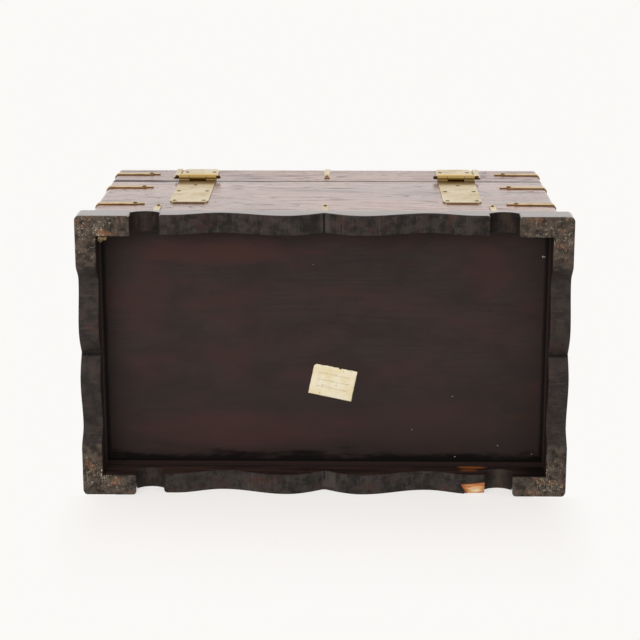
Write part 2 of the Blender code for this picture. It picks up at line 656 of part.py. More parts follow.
def add_link():
    """A plate on the lid rail's inner face, with an eyed tongue that drops into the lock."""
    face = -INNER_DEPTH + CLEARANCE
    low = SEAM_HEIGHT + LINK_ABOVE_SEAM
    plate = box_mesh((-LINK_WIDTH / 2, face, low), (LINK_WIDTH / 2, face + LINK_THICKNESS, low + LINK_HEIGHT))
    obj = add_piece("lid_lock_link", plate, BRASS)
    depth, height = eye_size()
    half_depth = depth / 2 + LINK_EYE_RIM / 2
    middle = SEAM_HEIGHT - BOLT_BELOW_SEAM
    bottom = middle - height / 2 - LINK_EYE_RIM
    half = LINK_THICKNESS / 2
    tongue = box_mesh((-half, LOCK_MIDDLE - half_depth, bottom),
                      (half, LOCK_MIDDLE + half_depth, low + LINK_HEIGHT / 2))
    combine(obj, add_cutter("lock_link_tongue", tongue), "UNION")
    eye = box_mesh((-half - CUT_MARGIN, LOCK_MIDDLE - depth / 2, middle - height / 2),
                   (half + CUT_MARGIN, LOCK_MIDDLE + depth / 2, middle + height / 2))
    combine(obj, add_cutter("lock_link_eye", eye), "DIFFERENCE")
    return obj


def add_lock_case():
    """A shallow case open towards the front board, with ears at its sides and a slot in its top."""
    half = LOCK_WIDTH / 2
    back = LOCK_FRONT + LOCK_DEPTH
    bottom = LOCK_TOP - LOCK_HEIGHT
    shell = box_mesh((-half, LOCK_FRONT, bottom), (half, back, LOCK_TOP))
    bm = bmesh.new()
    bm.from_mesh(shell)
    bmesh.ops.delete(bm, geom=[face for face in bm.faces if face.normal.y < -0.5], context="FACES_ONLY")
    bm.to_mesh(shell)
    bm.free()
    obj = add_piece("lock_case", shell, BRASS)
    solidify = obj.modifiers.new("walls", "SOLIDIFY")
    solidify.thickness = LOCK_WALL
    solidify.offset = -1
    solidify.use_even_offset = True
    middle = (bottom + LOCK_TOP) / 2
    rise = LOCK_HEIGHT / 2 - LOCK_WALL / 2
    reach = half + LOCK_EAR
    gap = half - LOCK_WALL / 2
    for side in (-1, 1):
        ear = [(side * gap, -rise), (side * reach, -rise / 2), (side * reach, rise / 2), (side * gap, rise)]
        hole = circle((side * (half + LOCK_EAR / 2), 0), SCREW_HOLE_DIAMETER)
        mesh = outline_mesh([ear, hole], LOCK_WALL)
        place = Matrix.Translation((0, LOCK_FRONT + LOCK_WALL, middle))
        combine(obj, add_cutter(f"lock_ear_{side}", mesh, place), "UNION")
    depth = eye_size()[0] / 2 + LINK_EYE_RIM / 2 + LOCK_SLOT_CLEARANCE
    width = LINK_THICKNESS / 2 + LOCK_SLOT_CLEARANCE
    slot = box_mesh((-width, LOCK_MIDDLE - depth, LOCK_TOP - LOCK_WALL - CUT_MARGIN),
                    (width, LOCK_MIDDLE + depth, LOCK_TOP + CUT_MARGIN))
    combine(obj, add_cutter("lock_slot", slot), "DIFFERENCE")


def add_lock_bolt():
    """A bolt that fills the case's depth and slides sideways, shown drawn back from the link."""
    nose_end = -LINK_THICKNESS / 2 - NOSE_GAP
    shoulder = nose_end - NOSE_LENGTH
    middle = SEAM_HEIGHT - BOLT_BELOW_SEAM
    half_depth = LOCK_CAVITY_DEPTH / 2 - CLEARANCE
    block = box_mesh((shoulder - BOLT_LENGTH, LOCK_MIDDLE - half_depth, middle - BOLT_HEIGHT / 2),
                     (shoulder, LOCK_MIDDLE + half_depth, middle + BOLT_HEIGHT / 2))
    obj = add_piece("lock_bolt", block, DARK_BRASS)
    nose = box_mesh((shoulder - BOLT_LENGTH / 2, LOCK_MIDDLE - NOSE_DEPTH / 2, middle - NOSE_HEIGHT / 2),
                    (nose_end, LOCK_MIDDLE + NOSE_DEPTH / 2, middle + NOSE_HEIGHT / 2))
    combine(obj, add_cutter("lock_bolt_nose", nose), "UNION")
    return obj


def post_profile():
    """Down the outside of a handle post: its round eye, neck and rosette, then the tang inside the board."""
    eye = POST_EYE_DIAMETER / 2
    neck = POST_NECK_DIAMETER / 2
    rim = ROSETTE_DIAMETER / 2
    tang = TANG_DIAMETER / 2
    waist = -math.degrees(math.acos(neck / eye))
    profile = arc((0, HANDLE_REACH), eye, 90, waist, 8)
    profile[0] = (0, profile[0][1])
    tang_length = BOARD_THICKNESS + 2 * CLEARANCE + NUT_THICKNESS + TANG_END
    profile += [(neck, ROSETTE_THICKNESS), (rim - ROSETTE_THICKNESS, ROSETTE_THICKNESS)]
    profile += [(rim, ROSETTE_THICKNESS / 2), (rim, 0), (tang, 0), (tang, -tang_length), (0, -tang_length)]
    return profile


def bail_path():
    """Half of the bail from its pin end to the middle of the grip, as (across, down) from the axis."""
    inner = HANDLE_SPAN / 2 - POST_EYE_DIAMETER / 2 - BAIL_DIAMETER / 2 - CLEARANCE
    pin_end = HANDLE_SPAN / 2 + POST_EYE_DIAMETER / 2 + BAIL_PIN_END
    points = [(pin_end, 0)]
    points += arc((inner + BAIL_PIN_BEND, -BAIL_PIN_BEND), BAIL_PIN_BEND, 90, 180, 4)
    points += arc((inner - BAIL_BEND, BAIL_BEND - BAIL_DROP), BAIL_BEND, 0, -90)
    return points


def add_handle(side, sign, wall):
    """Two posts with their nuts, and the bail that hangs in the posts' eyes, with its origin on its axis."""
    outward = Matrix.Rotation(sign * math.pi / 2, 4, "Y")
    drill = turned_mesh([(0, HANDLE_SPAN), (BAIL_DIAMETER / 2 + CLEARANCE, HANDLE_SPAN),
                         (BAIL_DIAMETER / 2 + CLEARANCE, -HANDLE_SPAN), (0, -HANDLE_SPAN)])
    along = Matrix.Translation((sign * BAIL_AXIS, 0, HANDLE_HEIGHT)) @ Matrix.Rotation(math.pi / 2, 4, "X")
    bore = add_cutter(side + "_handle_bore", drill, along)
    hole = TANG_DIAMETER / 2 + CLEARANCE
    for end, y_sign in (("front", -1), ("back", 1)):
        foot = Vector((sign * (HALF_LENGTH + CLEARANCE), y_sign * HANDLE_SPAN / 2, HANDLE_HEIGHT))
        place = Matrix.Translation(foot) @ outward
        post = add_piece(f"{side}_handle_{end}_post", turned_mesh(post_profile()), BRASS, place)
        combine(post, bore, "DIFFERENCE")
        length = BOARD_THICKNESS + 2 * CUT_MARGIN
        tang_hole = turned_mesh([(0, 0), (hole, 0), (hole, -length), (0, -length)])
        start = place @ Matrix.Translation((0, 0, CUT_MARGIN))
        combine(wall, add_cutter(f"{side}_handle_{end}_hole", tang_hole, start), "DIFFERENCE")
        seat = -BOARD_THICKNESS - 2 * CLEARANCE
        ring = [(NUT_DIAMETER / 2, seat), (NUT_DIAMETER / 2, seat - NUT_THICKNESS),
                (hole, seat - NUT_THICKNESS), (hole, seat)]
        add_piece(f"{side}_handle_{end}_nut", turned_mesh(ring, closed=True), DARK_BRASS, place)
    half = bail_path()
    points = [(-across, down) for across, down in half] + list(reversed(half))
    curve = bpy.data.curves.new(side + "_handle_bail", "CURVE")
    curve.dimensions = "3D"
    curve.bevel_depth = BAIL_DIAMETER / 2
    curve.bevel_resolution = 3
    curve.use_fill_caps = True
    spline = curve.splines.new("POLY")
    spline.points.add(len(points) - 1)
    for point, (across, down) in zip(spline.points, points):
        point.co = (0, across, down, 1)
    curve.materials.append(BRASS)
    bail = bpy.data.objects.new(side + "_handle_bail", curve)
    bail.location = (sign * BAIL_AXIS, 0, HANDLE_HEIGHT)
    CHEST.objects.link(bail)


def add_axis(name, point, pieces):
    """An empty on a joint's axis, which carries the pieces that move there."""
    empty = bpy.data.objects.new(name, None)
    empty.location = point
    CHEST.objects.link(empty)
    for piece in pieces:
        piece.parent = empty
        piece.matrix_parent_inverse = Matrix.Translation(point).inverted()


def build():
    add_plinth()
    walls = add_carcase()
    lid = add_lid()
    hinge_x = HALF_LENGTH - HINGE_FROM_END
    lid += [add_hinge("left", -hinge_x), add_hinge("right", hinge_x)]
    lid += add_straps()
    lid.append(add_link())
    add_axis("lid_hinge_axis", HINGE_AXIS, lid)
    add_key_plate()
    add_lock_case()
    slide = (0, LOCK_MIDDLE, SEAM_HEIGHT - BOLT_BELOW_SEAM)
    add_axis("lock_bolt_slide", slide, [add_lock_bolt()])
    for side, sign in (("left", -1), ("right", 1)):
        add_handle(side, sign, walls[side])


build()
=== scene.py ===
import math
import random
from types import SimpleNamespace

import bmesh
import bpy
from mathutils import Matrix, Vector, noise


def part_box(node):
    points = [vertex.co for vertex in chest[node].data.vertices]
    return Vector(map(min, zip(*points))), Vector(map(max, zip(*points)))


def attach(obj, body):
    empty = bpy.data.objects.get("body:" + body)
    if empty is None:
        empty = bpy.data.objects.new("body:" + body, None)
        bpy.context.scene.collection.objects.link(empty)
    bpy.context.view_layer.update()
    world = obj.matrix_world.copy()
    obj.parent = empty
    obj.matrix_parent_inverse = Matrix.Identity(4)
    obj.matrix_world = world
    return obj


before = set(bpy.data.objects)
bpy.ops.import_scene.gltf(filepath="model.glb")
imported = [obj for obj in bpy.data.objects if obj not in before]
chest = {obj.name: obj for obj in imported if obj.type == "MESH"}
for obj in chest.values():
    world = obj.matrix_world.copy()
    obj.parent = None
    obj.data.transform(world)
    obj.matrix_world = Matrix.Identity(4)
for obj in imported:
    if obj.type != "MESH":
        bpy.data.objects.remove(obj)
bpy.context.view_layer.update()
scene = bpy.context.scene
print("stage 1: frame loaded,", len(chest), "nodes")


def linear(code):
    channels = [int(code[i:i + 2], 16) / 255 for i in (1, 3, 5)]
    return [c / 12.92 if c <= 0.04045 else ((c + 0.055) / 1.055) ** 2.4 for c in channels] + [1.0]


# Adds one node. A setting is one of its properties, a fixed value for an input, or a field to link.
def addNode(tree, kind, settings=None, output=0):
    node = tree.nodes.new(kind)
    for key, value in (settings or {}).items():
        if isinstance(value, Field):
            tree.links.new(value.socket, node.inputs[key])
        elif isinstance(key, str) and hasattr(node, key):
            setattr(node, key, value)
        else:
            node.inputs[key].default_value = value
    return Field(node.outputs[output]) if node.outputs else None


# What a field is turned into: the node, its fixed settings, the inputs that are filled in turn, the output.
# Any other word is an operation of a Math node. Spread makes low..high into start..end, smoothly.
smooth = {"interpolation_type": "SMOOTHSTEP", "To Min": 0.0, "To Max": 1.0}
turns = {
    "spread": ("ShaderNodeMapRange", smooth, ("Value", "From Min", "From Max", "To Min", "To Max"), 0),
    "upTo": ("ShaderNodeMapRange", smooth, ("Value", "From Min", "From Max", "To Max"), 0),
    "blend": ("ShaderNodeMix", {"data_type": "RGBA", "blend_type": "MIX"}, (0, 6, 7), 2),
    "relief": ("ShaderNodeBump", {}, ("Height", "Strength", "Distance", "Normal"), 0),
    "axes": ("ShaderNodeSeparateXYZ", {}, (0,), 0),
    "shader": ("ShaderNodeMixShader", {}, (0, 1, 2), 0),
    "surface": ("ShaderNodeOutputMaterial", {}, ("Surface",), 0),
}


# A value that runs through a node tree. Arithmetic on it adds Math nodes, and | takes the larger value.
class Field:
    def __init__(self, socket):
        self.socket, self.tree = socket, socket.id_data

    def to(self, turn, *others):
        kind, fixed, inputs, output = turns.get(turn, ("ShaderNodeMath", {"operation": turn}, (0, 1, 2), 0))
        return addNode(self.tree, kind, {**fixed, **dict(zip(inputs, (self, *others)))}, output)

    # every output of the node that this one comes from
    def outputs(self):
        return [Field(socket) for socket in self.socket.node.outputs]

    __add__ = lambda a, b: a.to("ADD", b)
    __radd__ = lambda a, b: addNode(a.tree, "ShaderNodeMath", {"operation": "ADD", 0: b, 1: a})
    __sub__ = lambda a, b: a.to("SUBTRACT", b)
    __rsub__ = lambda a, b: addNode(a.tree, "ShaderNodeMath", {"operation": "SUBTRACT", 0: b, 1: a})
    __mul__ = lambda a, b: a.to("MULTIPLY", b)
    __truediv__ = lambda a, b: a.to("DIVIDE", b)
    __or__ = lambda a, b: a.to("MAXIMUM", b)
    __lt__ = lambda a, b: a.to("LESS_THAN", b)
    __gt__ = lambda a, b: a.to("GREATER_THAN", b)
    __abs__ = lambda a: a.to("ABSOLUTE", 0.0)


# Lays coats over a ground, each a mask and a colour. A colour is a key of the look, or a field.
def coat(look, ground, *coats):
    for mask, colour in coats:
        first, second = [tone if isinstance(tone, Field) else linear(look[tone]) for tone in (ground, colour)]
        ground = mask.to("blend", first, second)
    return ground


# Noise in the part's own frame; its cells measure size, or (x, y, z), in millimetres.
def grainNoise(coords, size, detail=3.0, rough=0.55, twist=0.0, shift=(0, 0, 0)):
    sizes = size if hasattr(size, "__len__") else [size] * 3
    stretched = addNode(coords.tree, "ShaderNodeMapping", {
        "Scale": [1000 / s for s in sizes], "Location": shift, "Vector": coords})
    return addNode(coords.tree, "ShaderNodeTexNoise", {
        "Scale": 1.0, "Detail": detail, "Roughness": rough, "Distortion": twist, "Vector": stretched})


# Cell sizes in millimetres for a grain that runs along one axis.
def cells(along, length, width):
    size = [width] * 3
    size[along] = length
    return size


# 1 between two values, 0 outside.
def between(value, low, high):
    return (value > low) * (value < high)


# 1 within the given half sizes along x and y, 0 outside.
def inside(x, y, halfX, halfY):
    return (abs(x) < halfX) * (abs(y) < halfY)


# 0 in the middle of an oval and 1 on its rim, which a noise makes ragged.
def oval(across, up, spot, ragged, amount):
    middleAcross, middleUp, halfAcross, halfUp = spot
    offAcross, offUp = (across - middleAcross) / halfAcross, (up - middleUp) / halfUp
    return offAcross * offAcross + offUp * offUp + (ragged - 0.5) * amount


# Where an edge has been rubbed: the angle between the face and a rounded copy of it.
def rubbedEdge(tree, radius):
    rounded = addNode(tree, "ShaderNodeBevel", {"samples": 4, "Radius": radius})
    flat = addNode(tree, "ShaderNodeNewGeometry", output="Normal")
    near = addNode(tree, "ShaderNodeVectorMath", {"operation": "DOT_PRODUCT", 0: rounded, 1: flat}, "Value")
    return near.to("spread", 0.995, 0.8)


# A new material, and the coordinates on its part.
def newMaterial(name):
    material = bpy.data.materials.new(name)
    material.use_nodes = True
    material.node_tree.nodes.clear()
    return material, addNode(material.node_tree, "ShaderNodeTexCoord", output="Object")


def addObject(name, data):
    piece = bpy.data.objects.new(name, data)
    scene.collection.objects.link(piece)
    return piece


# Camera, set from the photograph's perspective: the chest lies on its front, underside to the lens.
photoCamera = {
    "place": (-0.0256, 0.6236, -2.1369),
    "right": (-0.9999, 0.0, 0.0143),
    "up": (0.00371, 0.9657, 0.2595),
    "back": (-0.01382, 0.2595, -0.96564),
    "lens": 102.65,
    "sensor": 36,
}
cameraData = bpy.data.cameras.new("photoCamera")
cameraData.lens = photoCamera["lens"]
cameraData.sensor_width = photoCamera["sensor"]
cameraObject = addObject("photoCamera", cameraData)
axes = Matrix([photoCamera["right"], photoCamera["up"], photoCamera["back"]]).transposed()
cameraObject.matrix_world = Matrix.Translation(photoCamera["place"]) @ axes.to_4x4()
scene.camera = cameraObject
scene.view_settings.view_transform = "Standard"

# Studio: a soft box over the lying chest, one over the standing chest, and a weak fill by the lens.
studio = {
    "room": "#FFFFFF",
    "ambient": 0.55,
    "lowRoom": 0.55,  # how bright the room is below, as mirrored in metal and polish
    "horizon": (-0.35, 0.45),  # and between which heights it brightens
    "backdrop": "#FBF9F7",
    "paper": "#F6F0EB",
    # name, place, target, side in metres and power in watts
    "lamps": [
        ("overheadSoftBox", (0.1, 1.55, 0.05), (0.0, 0.0, 0.15), 1.7, 9.5),
        ("standingSoftBox", (-0.5, -0.9, 1.75), (0.0, 0.0, 0.2), 1.5, 10.0),
        ("lensFill", (0.85, 0.9, -1.8), (0.0, 0.0, 0.05), 1.2, 20.0),
    ],
}
for lampName, place, target, side, power in studio["lamps"]:
    lamp = bpy.data.lights.new(lampName, "AREA")
    lamp.shape = "SQUARE"
    lamp.size = side
    lamp.energy = power
    lampObject = addObject(lampName, lamp)
    lampObject.location = place
    lampObject.rotation_euler = (Vector(target) - Vector(place)).to_track_quat("-Z", "Y").to_euler()
    lampObject.visible_glossy = False  # the pale room already stands in the mirror

scene.world = bpy.data.worlds.new("paleStudio")
scene.world.use_nodes = True
sky = scene.world.node_tree
sky.nodes.clear()
rayKinds = ("Is Camera Ray", "Is Glossy Ray", "Is Transmission Ray")
toLens, toMirror, through = [addNode(sky, "ShaderNodeLightPath", output=kind) for kind in rayKinds]
room = {"Color": linear(studio["room"]), "Strength": studio["ambient"]}
heading = addNode(sky, "ShaderNodeTexCoord", output="Generated").to("axes").outputs()[2]
mirrored = heading.to("spread", *studio["horizon"], studio["lowRoom"])
paper = {"Color": linear(studio["backdrop"]), "Strength": toLens | mirrored}
roomLight, backdrop = [addNode(sky, "ShaderNodeBackground", settings) for settings in (room, paper)]
air = (toLens | toMirror | through).to("shader", roomLight, backdrop)
addNode(sky, "ShaderNodeOutputWorld", {"Surface": air})

# White paper sweeps: matt, they keep the soft shadow near the chest and run out to plain white. The lying
# floor stays below the standing one, so each view shows only its own; a strip of it runs under the notches.
sweeps = {
    "standingFloor": {
        "sheets": [[(-4, -4, 0), (4, -4, 0), (4, 4, 0), (-4, 4, 0)]], "at": (0, 0, -0.0006),
        "footprint": {0: 0.29, 1: 0.165}, "pull": {0: 1, 1: 1}, "fade": 0.6, "paleness": 0.7},
    "lyingFloor": {
        "sheets": [[(-2, 0, -1.5), (-2, 0, 0), (2, 0, 0), (2, 0, -1.5)],
                   [(-0.26, 0, 0), (-0.26, 0, 0.0345), (0.26, 0, 0.0345), (0.26, 0, 0)]],
        "at": (0, -0.1774, -0.002),
        "footprint": {0: 0.26, 2: 0.035}, "pull": {0: 4, 2: 1}, "fade": 0.3, "paleness": 0.68},
}


def sweepPaper(name, sweep):
    material, coords = newMaterial(name)
    tree, place = coords.tree, coords.to("axes").outputs()
    away = 0.0
    for axis, reach in sweep["footprint"].items():
        past = ((abs(place[axis]) - reach) | 0.0) * sweep["pull"][axis]
        away = away + past * past
    faded = away.to("SQRT", 0.0).to("spread", 0.0, sweep["fade"], sweep["paleness"])
    matt = addNode(tree, "ShaderNodeBsdfDiffuse", {"Color": linear(studio["paper"])})
    plain = addNode(tree, "ShaderNodeEmission", {"Color": linear(studio["backdrop"])})
    behind = addNode(tree, "ShaderNodeNewGeometry", output="Backfacing")
    clear = addNode(tree, "ShaderNodeBsdfTransparent")
    behind.to("shader", faded.to("shader", matt, plain), clear).to("surface")
    return material


for sweepName, sweep in sweeps.items():
    mesh = bpy.data.meshes.new(sweepName)
    corners = [corner for sheet in sweep["sheets"] for corner in sheet]
    mesh.from_pydata(corners, [], [range(4 * i, 4 * i + 4) for i in range(len(sweep["sheets"]))])
    mesh.materials.append(sweepPaper(sweepName + "Paper", sweep))
    floor = addObject(sweepName, mesh)
    floor.location = sweep["at"]
    floor.visible_diffuse = floor.visible_glossy = floor.visible_transmission = floor.visible_shadow = False
print("stage 2: camera, lamps and sweeps")

# Where the edges are eased.
edgeRules = {
    "crisp": math.radians(40),  # faces that meet at less read as one curve
    "seam": 0.2894,  # both sides of the seam are eased in full, other board edges by a share
    "seamReach": 0.0012,
    "boardShare": 0.2,
    "mitre": 0.123,  # |x| - |y| on the plinth's mitres, which stay tight
    "mitreReach": 0.0008,
    "hollow": (0.196, 0.238),  # |x| of the notches, whose curved sides stay as cut
    "hollowHeight": (0.023, 0.0105),  # and how high that is: the middle and half of it
    "notchRims": (0.2, 0.234),  # |x| of the notches' outer corners, which are well rounded
    "notchReach": 0.0006,
    "notchFace": 0.176,
    "notchHeight": (0.009, 0.0165),
    "notchRadius": 4.2,
    "cuspHeight": (0.02, 0.028),  # the cusps of the long aprons are rounded alike
    "chip": (-0.203, -0.165),  # the broken corner keeps its splintered edges
    "chipInner": -0.156,
}

# Polished hardwood: sawn, planed, stained and wax-polished. Wavy dark growth lines and open pores
# under a soft sheen that turns pale at a low angle; the inside was left unpolished.
boardWood = {
    # seam is the colour of the dirt and painted shade in the seam under the lid
    "pale": "#925842", "middle": "#794736", "line": "#2C1812", "rub": "#8E6147", "seam": "#120A08",
    "inside": "#76503A", "insideLine": "#553725", "below": "#33221E", "belowLine": "#120B0A",
    # mm along and across the grain
    "figure": (310, 40),  # between the hearts of the figure
    "streak": (140, 5),
    "pores": (22, 1.5),  # about three times wider than real ones so that they show
    "cloud": (220, 50),
    "growth": 19,  # growth lines over the figure's whole range
    "sheen": (0.24, 0.38),
    "worn": 0.0022,
    # dirt and painted shade in the seam: how wide, how uneven, and how much more at the back towards the
    # right end
    "seamDirtAndShade": (0.003, 0.0012),
    "seamWander": 0.006,
    "packedDirtAndShade": (0.12, 0.27, 0.0032),
    "packedDirtAndShadeBehind": 0.164,
    "room": (0.2754, 0.1504),  # half sizes of the inside, and its top
    "roomTop": 0.3656,
    "lowRoom": (0.2776, 0.1526),  # half sizes of the strip below the bottom board, and its top
    "lowRoomTop": 0.06,
    "plinthJoint": 0.0402,  # dirt in the joint where the strip meets the plinth, and dirt and painted shade where it meets the bottom board
    "jointDirt": (0.0024, 0.0008, 0.6),
    "bottomDirtAndShade": (0.0495, 0.0525),
}


def polishedHardwood(name, along, strength, wax, shift):
    material, coords = newMaterial(name)
    wood = boardWood
    x, y, z = coords.to("axes").outputs()
    heart = grainNoise(coords, cells(along, *wood["figure"]), detail=2, rough=0.45, twist=0.5, shift=shift)
    streak = grainNoise(coords, cells(along, *wood["streak"]), detail=4, rough=0.65, twist=0.4, shift=shift)
    pores = grainNoise(coords, cells(along, *wood["pores"]), detail=2).to("spread", 0.57, 0.67)
    cloud = grainNoise(coords, cells(along, *wood["cloud"]), detail=2)
    rings = (heart * wood["growth"]).to("FRACT", 0.0)
    lines = rings.to("spread", 0.52, 0.97) * streak.to("spread", 0.36, 0.6, 0.1)
    lines = ((lines | streak.to("spread", 0.44, 0.3)) * strength).to("MINIMUM", 1.0)
    rub = rubbedEdge(coords.tree, wood["worn"]) * streak.to("spread", 0.4, 0.6, 0.15, 0.7)
    # dirt and painted shade in the seam under the lid
    offSeam = abs(z - edgeRules["seam"])
    packedDirtAndShade = x.to("upTo", *wood["packedDirtAndShade"]) * (y > wood["packedDirtAndShadeBehind"])
    fromSeam = offSeam + (streak - 0.5) * wood["seamWander"] - packedDirtAndShade
    facing = addNode(coords.tree, "ShaderNodeTexCoord", output="Normal").to("axes").outputs()
    level = abs(facing[2]).to("spread", 0.75, 0.97)
    seam = fromSeam.to("spread", *wood["seamDirtAndShade"]) * (1.0 - level)
    # bare wood inside and on the rims that meet in the seam, and the strip below the bottom board
    within = inside(x, y, *wood["room"]) * (z < wood["roomTop"])
    within = within | ((offSeam < edgeRules["seamReach"]) * level)
    raw = coat(wood, "insideLine", (streak.to("spread", 0.35, 0.6), "inside"))
    below = inside(x, y, *wood["lowRoom"]) * (z < wood["lowRoomTop"])
    joint = abs(z - wood["plinthJoint"]).to("upTo", *wood["jointDirt"]) | z.to("spread", *wood["bottomDirtAndShade"])
    strip = coat(wood, "below", (joint, "belowLine"))
    body = coat(
        wood, "middle", (cloud.to("spread", 0.35, 0.65), "pale"), (lines, "line"), (pores * 0.6, "line"),
        (rub, "rub"), (seam, "seam"), (within, raw), (below, strip))
    bare = within | below
    matt = (pores * 0.6) | (lines | seam)
    gloss = streak.to("spread", 0.3, 0.7, *wood["sheen"]) | (matt * 0.55)
    gloss = gloss | seam | (bare * 0.75)
    polish = (1.0 - bare) * matt.to("spread", 0.95, 0.1, 0.1, wax)
    addNode(coords.tree, "ShaderNodeBsdfPrincipled", {
        "Base Color": body, "Roughness": gloss,
        "Normal": (streak * 0.4 - pores * 0.5).to("relief", 0.2, 0.0005),
        "Specular IOR Level": 0.5, "Coat Roughness": 0.2, "Coat Weight": polish}).to("surface")
    return material


# Ebonised hardwood of the plinth: sawn to shape, stained dark and polished outside. Below it is dusty and
# scuffed across the saw marks, and the ends of the feet are worn to bare mottled wood.
plinthWood = {
    "stain": "#4A2E25", "streak": "#261814", "red": "#562A1E", "wall": "#3B2A25",
    "wallDark": "#1A1210", "wallRed": "#4A2B22", "wallHighlight": "#6A5E56", "dust": "#3B332F",
    "dustPale": "#5F564E", "darkDustAndShade": "#1D1815", "dustRed": "#482D26", "hollow": "#3A2B23",
    "hollowPale": "#4A3E36", "hollowDark": "#1A1310", "bareDark": "#2E2824", "bare": "#5A4D43",
    "bareRust": "#80543A", "barePale": "#C9BDA2", "scrape": "#93501F", "deepShade": "#0C0908",
    "worn": 0.0025,
    "underside": (-0.25, -0.6),  # how far a face looks down
    "calm": (0.05, 0.35),  # least dust on long and side aprons
    "room": (0.2752, 0.1522),  # half sizes of the frame's inside
    "wallTopShade": (0.037, 0.0392),  # painted shade where the walls meet the boards
    "frontCornerShade": (-0.232, -0.262, 0.8),  # along the front wall past the chip,
    "sideCornerShade": (-0.26, -0.27, 0.4),  # and on the side wall there
    "wallHighlightHeight": 0.0372,  # painted highlight along the side walls
    "wallHighlightReach": (0.0032, 0.0016, 0.8),
    "notch": (0.2171, 0.0189),  # middle and half of the notches' |x|
    "notchTop": (0.0335, 0.0325),
    "notchInner": (0.1522, 0.1535),
    "notchOuter": (0.1768, 0.1755),
    "notchDust": 0.217,
    "footHeight": (0.0034, 0.0014),
    "footStart": (0.24, 0.126),  # where the worn ends begin on long and side aprons
    "footFade": 0.004,
    "footCorner": (0.278, 0.156),  # most of the flaking is by the frame's inner corners
    "cornerReach": (0.042, 0.012, 0.4, 1.25),
    # marks below the back (1) and front (-1): side, middle and half of x, outer |y|, depth, tone
    "marks": [
        (1, 0.0034, 0.002, 0.18, 0.28, "dustPale"), (1, -0.004, 0.003, 0.18, 0.28, "dustPale"),
        (1, 0.0005, 0.0013, 0.18, 0.95, "deepShade"), (1, -0.0205, 0.0011, 0.166, 0.5, "deepShade"),
        (1, 0.0135, 0.004, 0.18, 0.6, "darkDustAndShade"), (-1, -0.0065, 0.0085, 0.174, 0.32, "dustPale"),
        (-1, 0.0, 0.0011, 0.164, 0.85, "deepShade"), (-1, -0.0155, 0.0014, 0.168, 0.5, "darkDustAndShade")],
    "markStart": 0.15,
    "markEnd": 0.002,
    "crease": (-0.0012, 0.003),  # middle and half of the painted shade in the crease across the side aprons
    # rubbed patches on the front wall, above the chip: middle and half of x and z, depth
    "scrapes": [(-0.1855, 0.0365, 0.0175, 0.0042, 0.9), (-0.181, 0.0255, 0.012, 0.0045, 0.45)],
    "frontWall": -0.15,
}


# The places and noises that all parts of the plinth's surface share.
def plinthGrain(coords, along):
    x, y, z = coords.to("axes").outputs()
    return SimpleNamespace(
        along=along, coords=coords, x=x, y=y, z=z,
        streak=grainNoise(coords, cells(along, 90, 5), detail=4, rough=0.6),
        patch=grainNoise(coords, 26, detail=3, rough=0.6),
        smear=grainNoise(coords, 12, detail=4, rough=0.65, shift=(5, 1, 4)),
        sawn=grainNoise(coords, cells(along, 2.6, 26), detail=3, rough=0.6),
        grit=grainNoise(coords, 2.2, detail=3, rough=0.7),
        fleck=grainNoise(coords, 3.4, detail=4, rough=0.75, twist=1.0))


# Inner walls of the frame, with painted shade where they meet the boards and in the corner past the chip, and
# a painted highlight along the side walls.
def plinthWalls(wood, grain):
    colour = coat(
        wood, "wallDark", (grain.streak.to("spread", 0.32, 0.66), "wall"),
        (grain.smear.to("upTo", 0.55, 0.75, 0.6), "wallRed"),
        (grain.z.to("spread", *wood["wallTopShade"]), "wallDark"))
    if grain.along == 0:
        # painted shade in the front wall's corner past the chip
        return coat(wood, colour, (grain.x.to("upTo", *wood["frontCornerShade"]) * (grain.y < 0.0), "deepShade"))
    # painted highlight along the side walls, and painted shade in their corner past the chip
    wallHighlight = abs(grain.z - wood["wallHighlightHeight"]).to("upTo", *wood["wallHighlightReach"])
    return coat(wood, colour, (wallHighlight, "wallHighlight"), (grain.x.to("upTo", *wood["sideCornerShade"]), "deepShade"))


# Sawn undersides, with dust on the lobes.
def plinthUnderside(wood, grain):
    return coat(
        wood, "darkDustAndShade", (grain.smear.to("spread", 0.37, 0.61, wood["calm"][grain.along], 0.95), "dust"),
        (grain.patch.to("upTo", 0.54, 0.7, 0.6), "dustRed"),
        (grain.sawn.to("upTo", 0.54, 0.72, 0.25), "dustPale"),
        (grain.grit.to("upTo", 0.6, 0.74, 0.5), "dustPale"))


# Bare brown wood in the notches: where it is, and its colour.
def plinthNotches(wood, grain):
    fromX, fromY = abs(grain.x), abs(grain.y)
    where = fromX.to("COMPARE", *wood["notch"]) * grain.z.to("spread", *wood["notchTop"])
    where = where * (fromY.to("spread", *wood["notchInner"]) * fromY.to("spread", *wood["notchOuter"]))
    rasped = grainNoise(grain.coords, (1.8, 20, 1.8), detail=3, rough=0.6)
    mottle = rasped * 0.4 + grain.smear * 0.6
    # dust in the middle, more at the front, and dark sides
    side = abs(fromX - wood["notchDust"]) + (grain.smear - 0.5) * 0.012
    dusty = side.to("upTo", 0.011, 0.002, 0.8) * grain.patch.to("spread", 0.38, 0.6, 0.2)
    return where, coat(
        wood, "hollowDark", (mottle.to("spread", 0.4, 0.6), "hollow"),
        (grain.smear.to("upTo", 0.54, 0.72, 0.3), "wallRed"),
        (dusty * grain.y.to("spread", 0.1, -0.1, 0.25), "hollowPale"),
        (side.to("upTo", 0.01, 0.017, 0.8), "hollowDark"))


